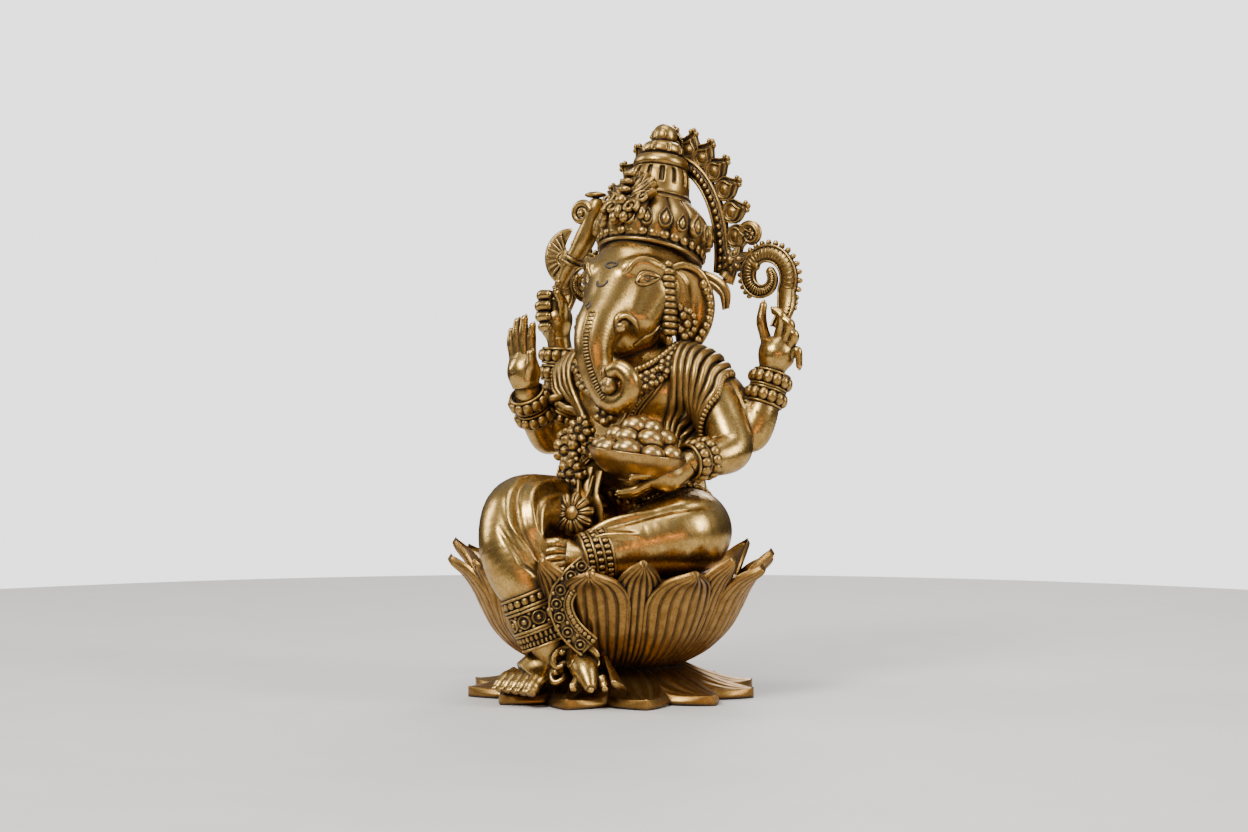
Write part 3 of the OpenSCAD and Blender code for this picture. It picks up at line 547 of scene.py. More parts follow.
serving = hand_shells((28.8, -3.6, 66, 3.6), (24.4, -8, 62.6, 3.4), [
    [(22, -12, 61.4, 1.4), (17.5, -14.5, 58.9, 1.3), (12.6, -15.8, 58, 1)],
    [(21.5, -10, 60.8, 1.4), (16.5, -12, 58.2, 1.3), (11.6, -13, 57.2, 1)],
    [(21.5, -8, 60.6, 1.4), (16.5, -9.4, 57.9, 1.3), (12, -10.2, 56.9, 1)],
    [(22, -6, 61, 1.35), (17.4, -6.6, 58.1, 1.2), (13.6, -7, 57.2, 0.95)],
    [(25, -11, 64.2, 1.7), (22.6, -16, 63.6, 1.5), (19.4, -19.4, 62.6, 1.1)]], (0, -0.5, -1), (0, 0, 1))
cast("hand_front_left_flesh", serving, skin_brass, "brass_body", "hand_front_left")
holding = hand_shells((37.2, 26.2, 91.4, 3.5), (38.6, 26.6, 97, 3.6), [
    [(36, 26, 100.4, 1.6), (34.8, 25, 106.4, 1.45), (35.2, 25.6, 112.2, 1)],
    [(40, 26.2, 102, 1.6), (41.6, 25, 107.4, 1.5), (38.6, 24.8, 110, 1.15)],
    [(41.6, 26.6, 100.6, 1.55), (44, 25.4, 105.2, 1.45), (41, 24.8, 107.6, 1.15)],
    [(42.2, 27.2, 98.4, 1.5), (45, 26.2, 102.2, 1.35), (42.4, 25.6, 104.6, 1.05)],
    [(41.8, 27.6, 95.4, 1.4), (45.4, 27.2, 98, 1.2), (46, 27.4, 92.6, 0.85)]], (0.6, -1, 0), (1, 0, 0))
cast("hand_rear_left_flesh", holding, skin_brass, "brass_body", "hand_rear_left")
gripping = hand_shells((-36.9, 24.4, 101, 3.5), (-37.6, 23.6, 108.4, 3.7), [
    [(-40.4, 22.6, 114, 1.7), (-39.4, 19, 115.4, 1.6), (-35.4, 18.6, 115.6, 1.35)],
    [(-40.8, 22.4, 111, 1.7), (-39.8, 18.6, 112.2, 1.6), (-35.4, 18.2, 112.4, 1.35)],
    [(-40.8, 22.6, 108, 1.65), (-39.8, 18.8, 109, 1.55), (-35.6, 18.4, 109.2, 1.3)],
    [(-40.4, 23, 105, 1.5), (-39.4, 19.4, 105.9, 1.4), (-35.8, 18.8, 106.1, 1.2)],
    [(-34.8, 23, 108, 1.8), (-32.8, 20.4, 113, 1.6), (-34, 18.8, 117, 1.15)]], (0, -1, 0.1), (1, 0, 0))
cast("hand_rear_right_flesh", gripping, skin_brass, "brass_body", "hand_rear_right")
curl_turn = steps(26, 0, 1)
palm_curl = np.hstack([-31.8 + (0.5 + 1.5 * curl_turn) * np.cos(9 * curl_turn), -3.95 + 0.25 * curl_turn,
                       93.4 + (0.6 + 2.3 * curl_turn) * np.sin(9 * curl_turn)])
palm_lines = [palm_curl, [(-34, -3.3, 89.8), (-32.4, -3.9, 89), (-30.6, -3.8, 89.6)]]
cast("palm_scroll", [tube(np.array(line, float), 0.2, (0, 1, 0.1), 6) for line in palm_lines], tarnish,
     "brass_body")

# ---- Bracelets and armlet ----
# Two rows of pillow beads between thin hoops on each wrist, soldered on; a leaf-fronted band sits on the
# right arm over the elbow.


def hoop(centre, axis, radius, thick, tall=1.0, rows=72, columns=10):
    """A closed ring square to axis: a circle of radius whose section is an ellipse thick by tall."""
    axis = unit(np.array(axis, float))
    a = unit(np.cross(axis, (0.31, 0.17, 0.93) if abs(axis[2]) < 0.8 else (1.0, 0.2, 0.0)))
    b = np.cross(axis, a)
    turn, angle = np.linspace(0, AROUND, rows)[:, None, None], ring(columns)[..., None]
    out = np.cos(turn) * a + np.sin(turn) * b
    return np.asarray(centre) + out * (radius + thick * np.cos(angle)) + axis * (thick * tall * np.sin(angle))


def bead_row(centre, axis, radius, count, sizes, offset=0.0):
    """Pillow beads set round a ring: each is stretched along the ring, outward and along the axis."""
    axis = unit(np.array(axis, float))
    a = unit(np.cross(axis, (0.31, 0.17, 0.93) if abs(axis[2]) < 0.8 else (1.0, 0.2, 0.0)))
    b = np.cross(axis, a)
    turn = (np.arange(count) + offset)[:, None] * AROUND / count
    out = np.cos(turn) * a + np.sin(turn) * b
    return eggs(np.asarray(centre) + out * radius, sizes, np.cross(axis, out), out, axis, 8, 12)


jewel_brass = patina_and_painted_shade_brass("jewel_brass", (0.47, 0.30, 0.095), 0.26, 1.0, 0.05)


def bracelet_shells(a, b, radius, rows, count, bead):
    """Rows of beads at distances from a towards b, with a hoop on each side of every row."""
    a, b = np.array(a, float), np.array(b, float)
    axis = unit(b - a)
    shells = []
    for at in rows:
        shells.append(bead_row(a + axis * at, axis, radius + 0.35 * bead, count,
                               (bead * 0.98, bead * 0.8, bead * 1.12)))
        for edge in (-1.3, 1.3):
            shells.append(hoop(a + axis * (at + edge * bead), axis, radius + 0.15 * bead, 0.42))
        shells.append(hoop(a + axis * at, axis, radius - 0.2, 0.6, 2.4))
    return shells


BRACELETS = (
    ("front_left", (34, 12, 69.5), (30, -2, 67), 4.6, (11.2, 15.2), 1.5),
    ("front_right", (-31.4, 7.6, 76.4), (-31, 1.6, 84), 4.8, (4.4, 9.8), 1.6),
    ("rear_left", (35.2, 23.4, 79.5), (36.6, 25.8, 87.6), 4.9, (5.6, 10.6), 1.6),
    ("rear_right", (-37.4, 24.6, 87.5), (-36.8, 24.6, 97.5), 4.9, (4.6, 9.8), 1.6),
)
for wrist_name, elbow, wrist, radius, rows, bead in BRACELETS:
    cast("bracelet_" + wrist_name + "_beads", bracelet_shells(elbow, wrist, radius, rows, 13, bead),
         jewel_brass, "brass_body", "bracelet_" + wrist_name)


def medallion(place, face, up, radius, high, outline, relief, rows=12, columns=48, back=0.6):
    """A small cast ornament on a plane: rings of the outline shrink to its middle, each raised by the
    relief's value there, and a last ring behind gives it thickness."""
    face = unit(np.array(face, float))
    across = unit(np.cross(np.array(up, float), face))
    upward = np.cross(face, across)
    rho, phi = steps(rows, 0.05, 1.0), ring(columns)
    x, y = outline(phi)
    z = high * relief(rho, phi)
    flat = np.stack([rho * x * radius, rho * y * radius, z + 0 * phi], -1)
    rear = flat[-1:] * [0.96, 0.96, 0] - [0, 0, back]
    local = np.concatenate([flat, rear])
    return np.asarray(place) + local[..., :1] * across + local[..., 1:2] * upward + local[..., 2:] * face


def leaf_outline(wide, tall):
    """A pointed leaf: its width is a sine of the angle, drawn up to a point at the top."""
    def outline(phi):
        point = np.clip(np.cos(phi), 0, 1) ** 6
        return wide * np.sin(phi) * (1 - 0.45 * point), tall * np.cos(phi) * (0.8 + 0.35 * point) - 0.05
    return outline


def bordered(rho, phi):
    """A raised border, a groove inside it and a domed middle."""
    return (0.75 * np.exp(-(((rho - 0.86) / 0.11) ** 2)) + np.clip(1 - (rho / 0.62) ** 2, 0, 1) ** 0.5
            - 0.5 * rho**8)


armlet_axis = unit(np.array([-5.6, 0.2, -10.5]))
armlet = [bead_row((-27.2, 13, 80.4), armlet_axis, 6.9, 18, (1.1, 0.9, 1.15)),
          hoop((-26.6, 13, 81.6), armlet_axis, 6.8, 0.5), hoop((-27.8, 13, 79.2), armlet_axis, 6.6, 0.5),
          medallion((-31.2, 8.2, 82.6), (-0.5, -0.85, 0.1), (-0.1, 0.1, 1), 4.4, 1.3,
                    leaf_outline(0.62, 1.15), bordered)]
cast("armlet_leaf", armlet, jewel_brass, "brass_ornament", "armlet_right")

# ---- Head and trunk ----
# One hollow casting: a high domed forehead that runs without a break into the trunk, which hangs down
# over the chest and curls to the figure's left round a sweet.
HEAD = [[(0, 16.5, 122, 13), (0, 13.5, 114.5, 13.4)], [(-4.6, 9.8, 120, 8), (4.6, 9.8, 120, 8)],
        [(0, 7.4, 120.5, 9), (0, 3, 115, 8.7), (0, -1.6, 109.8, 7.5), (-0.4, -6.4, 104.6, 6.5),
         (-0.2, -8.6, 99, 5.7), (0.6, -8.8, 93.6, 5.0), (2.6, -9, 88.6, 4.4), (5.6, -9.4, 84.6, 3.9),
         (9.4, -10, 83.2, 3.5), (13.2, -10.4, 85.6, 3.1), (14, -11, 89.8, 2.8), (11, -11.6, 92.6, 2.5),
         (7.8, -12, 91.6, 2.3)], [(-8.4, 8.4, 114, 6.2), (-7, 4, 107.4, 5.4)],
        [(8.4, 8.4, 114, 6.2), (7, 4, 107.4, 5.4)],
        [(-6, 7, 102.6, 4.2), (0, 3, 100.6, 4.4), (6, 7, 102.6, 4.2)],
        [(-5.4, -0.2, 121.6, 1.8), (-9.4, 2.4, 123, 1.8), (-12.4, 6.4, 121.4, 1.8)],
        [(5.4, -0.2, 121.6, 1.8), (9.4, 2.4, 123, 1.8), (12.4, 6.4, 121.4, 1.8)],]
head_line = [(0, 16, 137), (0, 14, 127), (0, 9, 117), (0, 1, 109.4), (-0.3, -5.8, 104), (-0.2, -8.6, 99),
             (0.6, -8.8, 93.6), (2.6, -9, 88.6), (5.6, -9.4, 84.6), (9.4, -10, 83.2), (13.2, -10.4, 85.6),
             (14, -11, 89.8), (11, -11.6, 92.6), (7.8, -12, 91.6)]
head_rows = 250
HEAD_BLEND = 1.1  # millimetres over which the head's round parts melt together
along_head = np.linspace(0, len(head_line) - 1, head_rows)
head_reach = np.interp(along_head, [0, 3, 4.2, 5.4, 7, 9, 13], [26, 24, 14, 8.6, 6.6, 4.8, 3.2])[:, None]
cast("head_and_trunk",
     [skin(through(head_line, head_rows), (0.3, -1, 0), HEAD, head_reach, 180, blend=HEAD_BLEND)],
     skin_brass, "brass_body", "head", "trunk")


def taper(count, at, widths):
    """A bar's half width along it: straight steps between widths given at fractions of its length."""
    return np.interp(np.linspace(0, 1, count), at, widths)[:, None]


def laid(points, lift, radius, columns=8, up=(0, 0, 1), chains=HEAD, count=None, blend=HEAD_BLEND):
    """A bar laid along the flesh: a smooth curve through points, each settled at lift above the skin."""
    line, normal = settle(through(points, count or 8 * len(points)), chains, lift, blend)
    return tube(line, radius, up, columns)


def eye_shells(side):
    """An almond eye: upper lid, lower lid and a crease above them, each a bar bowed by a sine between
    the corners, with a ball between the lids. Side is +1 for the figure's left eye."""
    inner, outer, lift = np.array([side * 7.6, 0.4, 117.2]), np.array([side * 12.4, 5.8,
            118.8]), np.array([0, 0, 1.0])
    t = steps(15)
    line = inner + (outer - inner) * t
    bulge = np.sin(np.pi * t) ** 0.8
    thin = np.interp(t[:, 0], [0, 0.2, 0.8, 1], [0.2, 0.6, 0.6, 0.2])
    shells = []
    for high, drop, raised, size in ((2.1, 0, 0.25, 1.0), (-1.25, 0, 0.15, 0.85), (3.1, 0.3, 0.1, 0.8)):
        path, _ = settle(through(line + bulge * high * lift + drop * lift, 40), HEAD, raised, HEAD_BLEND)
        shells.append(tube(path, through(thin[:, None] * size, 40), (0, 0, 1), 8))
    ball, normal = settle((inner + outer) / 2 + 0.35 * lift, HEAD, -0.15, HEAD_BLEND)
    across = unit(outer - inner)
    shells.append(eggs(ball, (2.8, 1.05, 1.45), across, normal, np.cross(across, normal), 11, 24))
    return shells, ball, normal


for side, name in ((1, "left"), (-1, "right")):
    shells, ball, normal = eye_shells(side)
    brow = through([(side * 5, -2, 119), (side * 7.2, 0, 122.4), (side * 10.6, 3, 123.4),
                    (side * 13.4, 7.4, 120.6)], 30)
    path, _ = settle(brow, HEAD, -0.1, HEAD_BLEND)
    shells.append(tube(path, taper(30, [0, 0.25, 1], [0.3, 0.85, 0.2]), (0, 0, 1), 10))
    cast("eye_" + name, shells, skin_brass, "brass_body")
    iris = hoop(ball + 0.98 * normal, normal, 0.85, 0.13, rows=28, columns=6)
    pupil = eggs(ball + 1.0 * normal, (0.3, 0.3, 0.12), rows=5, columns=10)
    cast("iris_" + name, [iris, pupil], tarnish, "brass_body")

# ---- Tusks ----
# Short blunt stumps, each in a thick fold of skin that wraps over its root from the cheek.
tusk_brass = patina_and_painted_shade_brass("tusk_brass", (0.60, 0.41, 0.16), 0.22, 0.7, 0.03)
for side, name in ((1, "left"), (-1, "right")):
    stump = [(side * 5.6, -1.2, 106, 1.8), (side * 6.8, -4.8, 104.8, 1.7), (side * 7.6, -7.2, 104, 1.35)]
    cast("tusk_stump_" + name, [digit(stump, (0, 0, 1), 30, 20)], tusk_brass, "brass_highlight",
         "tusk_" + name)
    fold = np.array([(side * 5.4, -6.4, 102.6), (side * 4.8, -6.8, 105), (side * 5.6, -6, 107.2),
                     (side * 7.4, -4, 107.8), (side * 8.8, -2.4, 106.4), (side * 9.2, -1, 104),
                     (side * 8.4, 0, 101.8)])
    path, _ = settle(through(fold, 44), HEAD, 0.1, HEAD_BLEND)
    thick = taper(44, [0, 0.3, 0.6, 1], [0.3, 1.0, 1.2, 0.3])
    crease = laid([(side * 6.4, 2, 99.4), (side * 9, 2.6, 101), (side * 11, 5, 103.6), (side * 12, 8, 106)],
                  0.05, 0.55)
    cast("tusk_fold_" + name, [tube(path, thick, (0, 0, 1), 12), crease], skin_brass, "brass_body")

# ---- Marks on the forehead and the ladder down the trunk ----
# A plain arc, a ring and a small tick are cut into the forehead; a row of small bars runs down the
# trunk's ridge.
ladder_at = through([(1.0, -11, 108.6), (1.0, -14, 103), (1.2, -15, 98), (2.2, -14.6, 93), (4.0, -14, 88.4),
                     (6.6, -13.6, 84.6)], 27)
ladder, ladder_normal = settle(ladder_at, HEAD, 0.12, HEAD_BLEND)
ladder_run = unit(np.gradient(ladder, axis=0))
rungs = eggs(ladder, (0.95, 0.45, 0.36), np.cross(ladder_normal, ladder_run), ladder_normal, ladder_run, 6,
             10)
ladder_edge = np.cross(ladder_normal, ladder_run)
rails = [tube(through(settle(ladder + way * 1.15 * ladder_edge, HEAD, 0.0, HEAD_BLEND)[0], 90), 0.2,
              (1, 0, 0), 8) for way in (-1, 1)]
cast("trunk_ladder", [rungs] + rails, jewel_brass, "brass_body")
sweep = steps(21, -2.6, 0.55)
crescent = np.hstack([0.6 + 2.4 * np.cos(sweep - 0.5), -9 + 0 * sweep, 119.8 + 2.2 * np.sin(sweep - 0.5)])
drop_turn = steps(25, 0, AROUND)
drop = np.hstack([1.6 + 2.0 * np.sin(drop_turn), -7 + 0 * drop_turn, 125.6 + 1.4 * np.cos(drop_turn)])
marks = [tube(settle(line, HEAD, 0.05, HEAD_BLEND)[0], 0.36, (1, 0, 0.2), 6) for line in
         (crescent, drop, np.array([(-1.8, -10, 110), (-1, -10, 112), (-0.2, -10, 110), (-1, -10, 109)]))]
cast("forehead_marks", marks, tarnish, "brass_body")

# ---- Ears with their rings and ropes ----
# Small fans folded back beside the crown: a dished plate with a rolled, beaded rim and a heavy lobe, a
# cluster of beads hung in it, and a rope of stacked rings in front.


def ear_shells(side):
    """A dished fan: a grid spread between its front and rear edge, bowed outward as a sine and thick at
    the rim; the two faces are a shell of flattened rings."""
    front_edge = through([(12.6, 10, 121), (13.6, 11.4, 115), (13.2, 11.8, 108), (13.4, 12.4, 102),
                          (14.6, 13.2, 97)], 44)
    rear_edge = through([(14.2, 13.4, 122), (19, 18, 119.4), (20.4, 20.2, 111.4), (19, 19.2, 103),
                         (15.2, 14.2, 96.2)], 44)
    angle = ring(40)
    across = 0.5 - 0.5 * np.cos(angle)[..., None]
    rise = np.sin(angle)[..., None]
    mid = front_edge[:, None] * (1 - across) + rear_edge[:, None] * across
    outward = unit(np.array([0.75, -0.66, 0]))
    row = steps(44)[..., None]
    dish = (-1.5 * np.sin(np.pi * across) * np.sin(np.pi * row) + 0.35 * np.sin(across * 16 + row * 5)
            * np.sin(np.pi * across))
    shell = (mid + outward * (dish + 0.85 * rise)) * [side, 1, 1]
    rim = (through([(12.8, 9.6, 121), (15.6, 13.6, 122.6), (19.2, 17.6, 119.8), (20.8, 20, 112),
                    (19.6, 19.2, 104), (16.4, 15.4, 97.4), (13.8, 12.4, 96.2)], 70) * [side, 1, 1])
    lobe = eggs((side * 15.4, 12.8, 98), (2.6, 1.6, 3.6), (0.75 * side, 0.66, 0), (0.66, -0.75 * side, 0),
                (0, 0, 1), 11, 24)
    return [shell, tube(rim, 1.15, (0, 0, 1), 14), lobe]


for side, name in ((1, "left"), (-1, "right")):
    cast("ear_fan_" + name, ear_shells(side), skin_brass, "brass_body", "ear_" + name)
    rim_at = (through([(20.4, 16.8, 117), (21.4, 18.6, 112), (20.8, 18.6, 106.4), (18.6, 16.4, 101)], 9)
              * [side, 1, 1])
    ring_turn = np.arange(11)[:, None] * AROUND / 11
    ear_ring = np.hstack([side * (16.6 + 1.9 * np.cos(ring_turn)), 13.4 + 1.6 * np.cos(ring_turn),
                          106 + 3.6 * np.sin(ring_turn)])
    ear_drop = np.array([(16.2, 12.2, 108), (17.2, 13, 105.6), (15.6, 11.8, 104), (16.6, 12.4, 102),
                         (15.4, 11.6, 110.4)])
    cast("ear_beads_" + name, [eggs(rim_at, (1.25, 1.25, 1.5)), eggs(ear_ring, (1.05, 1.05, 1.05)),
                               eggs(ear_drop * [side, 1, 1], (1.3, 1.3, 1.3))], jewel_brass, "brass_ornament")
    level = np.arange(10)[:, None]
    links = np.hstack([side * (13.9 - 0.05 * level), 8 + 0.14 * level, 120.4 - 1.9 * level])
    rope = [hoop(link, (0, 0.12, 1), 1.35 + 0.25 * (i % 9 > 0), 1.0, rows=30) for i, link in enumerate(links)]
    knob = eggs(links[:1] + [0, 0, 2.2], (1.5, 1.5, 1.3), rows=9, columns=20)
    tail = eggs(links[-1:] - [0, 0, 2.4], (1.2, 1.2, 1.9), rows=9, columns=20)
    cast("ear_rope_links_" + name, rope + [knob, tail], jewel_brass, "brass_body", "ear_rope_" + name)

# ---- Crown ----
# A tall cap turned in wax and leaned back: a band of round studs and pointed leaves, a fluted flare, a
# slotted drum, two tiers and a knob. The tiers were pressed on one above another.
crown_seat, crown_lean, rim_lean = np.array([0, 19.5, 127]), np.radians(12), np.radians(19)


def on_crown(local, lean=crown_lean):
    """Local shapes leaned back about the crown's seat: height goes up and back, front edges rise."""
    x, y, z = local[..., 0], local[..., 1], local[..., 2]
    turned_y = y * np.cos(lean) + z * np.sin(lean)
    return np.stack([x, turned_y, z * np.cos(lean) - y * np.sin(lean)], -1) + crown_seat


def window(value, low, high, soft):
    """One between low and high, falling to nothing over soft on either side."""
    return 1 / (1 + np.exp(-(value - low) / soft * 4)) / (1 + np.exp((value - high) / soft * 4))


def crown_turning(points, rows, change, columns=240):
    """A tier of the crown: a smooth profile turned round the axis, its radius changed by height and
    angle, then leaned back with the cap."""
    profile = through(points, rows)
    return on_crown(turned(profile, columns, lambda t, angle: change(profile[:, 1:2], angle)))


crown_brass = patina_and_painted_shade_brass("crown_brass", (0.47, 0.30, 0.095), 0.24, 1.0, 0.05)
band_outline = through([(9, -1.6), (14.4, -1.7), (15.3, -1.1), (14.9, -0.4), (14.7, 1.2), (15.2, 2.8),
                        (15.6, 3.2), (14.9, 3.8), (9, 4.0)], 60)
stud_count, leaf_count = 30, 20
studs = bead_row((0, 0, 1.1), (0, 0, 1), 15.5, stud_count, (1.55, 0.9, 1.45))
band_cord = hoop((0, 0, -1.4), (0, 0, 1), 15.1, 0.6, rows=120)
crown_leaves = []
for leaf in range(leaf_count):
    turn = AROUND * (leaf + 0.5) / leaf_count
    out = np.array([np.cos(turn), np.sin(turn), 0])
    tall = 3.0 + 0.7 * (leaf % 2)
    place = out * (16.6 + 0.3 * (leaf % 2)) + [0, 0, 3.6 + 0.72 * tall]
    crown_leaves.append(medallion(place, out + [0, 0, 0.12], -0.12 * out + [0, 0, 1], tall, 1.25,
                                  leaf_outline(0.6, 1.0), bordered, back=2.4))
cast("crown_band_studs", [on_crown(grid, rim_lean) for grid in [turned(band_outline), studs, band_cord]],
     crown_brass, "brass_body", "crown_band")
cast("crown_band_leaves", [on_crown(grid, np.radians(15)) for grid in crown_leaves], jewel_brass,
     "brass_ornament")


def flutes(height, angle):
    """Round lobes with sharp grooves between them: a root of |cos| of seven times the angle, fading
    out at the top ring."""
    lobe = np.abs(np.cos(7 * angle)) ** 0.3
    return (2.9 * lobe - 2.5) * window(height, 1.0, 14.6, 0.7)


def slots(height, angle):
    """Upright slots with round ends: a steep bell over the angle between two heights."""
    near = np.abs(np.angle(np.exp(14j * angle))) / 14 * 8
    return -1.5 * window(-near, -0.62, 9, 0.3) * window(height, 20.0, 24.4, 0.7)


def notches(height, angle):
    """Nine short cuts round the upper tier: a steep bell over the angle between two heights."""
    near = np.abs(np.angle(np.exp(9j * angle))) / 9 * 6
    return -0.7 * window(-near, -0.4, 9, 0.35) * window(height, 29.8, 32.0, 0.7)


flare = crown_turning([(10, 0.5), (14.6, 1.2), (16, 4), (16.2, 7), (14.9, 10.4), (12, 13.6), (10, 14.8),
                       (5, 15)], 90, flutes, 420)
cast("crown_flare_flutes", [flare], crown_brass, "brass_body", "crown_flare")
drum = crown_turning([(5, 14.2), (10, 14.4), (10.5, 15.1), (9.8, 15.7), (9.7, 15.9), (10.1, 16.4),
                      (9.6, 17), (9.3, 18.4), (9.1, 21.4), (8.5, 24), (7.2, 25.2), (4, 25.4)], 130, slots,
                     420)
cast("crown_drum_slots", [drum], crown_brass, "brass_body", "crown_drum")
finial = crown_turning([(4, 24.6), (6.8, 24.8), (8.1, 25.6), (8.2, 27), (7.3, 28.4), (5.5, 29), (5.6, 29.4),
                        (6.3, 30), (6.1, 31.6), (5, 32.8), (3.4, 33.2), (3.3, 33.6), (3.7, 34.4), (3.6, 36.2),
                        (2.9, 37.8), (1.6, 38.8), (0.3, 39.1)], 150, notches, 260)
knob_leaf = eggs((0.6, -2.9, 35), (2.1, 1.2, 2.2), rows=11, columns=24)
cast("crown_finial_knob", [finial, on_crown(knob_leaf)], crown_brass, "brass_body", "crown_finial")

# ---- Crest on the front of the crown ----
# A fan of ribbed leaves over a pair of curls and a drop, modelled apart and melted on to the flare.


def spiral(centre, across, upward, reach, turns, start, thick, shrink=0.85, count=60):
    """A flat curl: its radius falls evenly from reach with the angle, and its bar thins with it."""
    t = steps(count)
    turn = start + turns * AROUND * t
    r = reach * (1 - shrink * t)
    line = np.asarray(centre) + r * np.cos(turn) * np.array(across) + r * np.sin(turn) * np.array(upward)
    return tube(line, thick * (1 - 0.4 * t), np.cross(across, upward), 12)


crest_face, crest_up = unit(np.array([0, -1, 0.55])), unit(np.array([0, 0.55, 1]))
crest = []
for leaf in range(-4, 5):
    lean = np.radians(17 * leaf)
    upward = np.cos(lean) * crest_up + np.sin(lean) * np.array([1.0, 0, 0])
    tall = 6.0 - 0.3 * abs(leaf)
    place = np.array([0, -15.2, 12]) + upward * (tall * 0.8) + crest_face * 0.25 * (leaf % 2)
    crest.append(medallion(place, crest_face, upward, tall, 1.3, leaf_outline(0.34, 1.05), bordered,
                           back=2.2))
for side in (-1, 1):
    crest.append(spiral((side * 3.1, -17.4, 9), (side, 0, 0), crest_up, 2.7, 1.35, -0.6, 1.0))
    crest.append(spiral((side * 6.2, -15.8, 12.2), (side, 0, 0), crest_up, 2.0, 1.2, 2.4, 0.75))
    crest.append(eggs((side * 1.8, -18, 5.9), (1.4, 1.2, 1.6), rows=9, columns=18))
    crest.append(eggs((side * 6.4, -16, 7.4), (1.4, 1.2, 2.0), rows=9, columns=18))
crest += [eggs((0, -17.8, 11), (1.9, 1.5, 1.7), rows=9, columns=20),
          eggs((0, -18.2, 7.6), (1.2, 1.3, 2.1), rows=9, columns=20),
          eggs([(0, -16.6, 14.4), (0, -15.9, 17.0), (0, -15.0, 19.6)], (2.1, 1.6, 1.15), rows=9,
               columns=20)]
cast("crown_crest_fan", [on_crown(grid) for grid in crest], jewel_brass, "brass_ornament", "crown_crest")

# ---- Arch behind the crown ----
# A flat halo cast on its own: a beaded band between two rails, with thirteen flame petals, each holding
# an oval boss, riveted behind the crown.
arch_y, arch_low, arch_wide, arch_tall = 32.4, 126.5, 17.2, 27.5


def arch_line(angle, out):
    """The halo's ellipse, widened by out."""
    return np.stack([(arch_wide + out) * np.cos(angle), arch_y + 0 * angle,
                     arch_low + (arch_tall + out) * np.sin(angle)], -1)


arch_angle = np.radians(np.linspace(-12, 192, 150))
arch_back = tube(arch_line(arch_angle, 0), 2.3, (0, 1, 0), 16, 1.0, 0.62)
arch_rails = [tube(arch_line(arch_angle, out) - [0, 1.35, 0], 0.55, (0, 1, 0), 10) for out in (-1.9, 1.9)]
arch_beads = eggs(arch_line(np.radians(np.linspace(-8, 188, 40)), -0.1) - [0, 1.6, 0], (0.95, 0.85, 0.95))
cast("arch_band", [arch_back] + arch_rails + [arch_beads], jewel_brass, "brass_ornament", "arch")


def oval_boss(rho, phi):
    """A flame petal's front: a rim, a deep groove round an oval boss with a rim of its own."""
    seat = np.sqrt((rho * np.sin(phi) / 0.74) ** 2 + ((rho * np.cos(phi) + 0.16) / 0.62) ** 2)
    boss = 0.95 * np.exp(-(((seat - 0.92) / 0.16) ** 2)) + 0.6 * np.clip(1 - (seat / 0.66) ** 2, 0, 1)
    return (boss + 0.8 * np.exp(-(((rho - 0.93) / 0.08) ** 2)) - 0.35 * window(seat, 1.15, 3, 0.15)
            * (rho < 0.86))


def flame_outline(phi):
    """A petal drawn out to a waisted point: width by the sine, height by the cosine with a sharp top."""
    tip = np.clip(np.cos(phi), 0, 1)
    return 0.86 * np.sin(phi) * (1 - 0.35 * tip**3), np.cos(phi) * 0.92 + 0.42 * tip**10


petals, petal_tips = [], []
for angle in np.radians(np.linspace(9, 171, 13)):
    out = unit(np.array([np.cos(angle) * arch_tall, 0, np.sin(angle) * arch_wide]))
    along = np.array([-out[2], 0, out[0]])
    size = 4.3
    place = arch_line(np.array(angle), 5.2) - [0, 0.5, 0]
    petals.append(medallion(place, (0, -1, 0), out, size, 0.95, flame_outline, oval_boss, 20, 56, back=1.3))
    tip = place + out * size * 1.28
    petal_tips.append(np.stack([tip + [0, -0.2, 0], tip + along * 1.1 - out * 0.7,
                                tip - along * 1.1 - out * 0.7]))
tips = eggs(np.concatenate(petal_tips), (0.75, 0.75, 0.85), rows=6, columns=10)
cast("arch_petals", petals + [tips], jewel_brass, "brass_ornament")

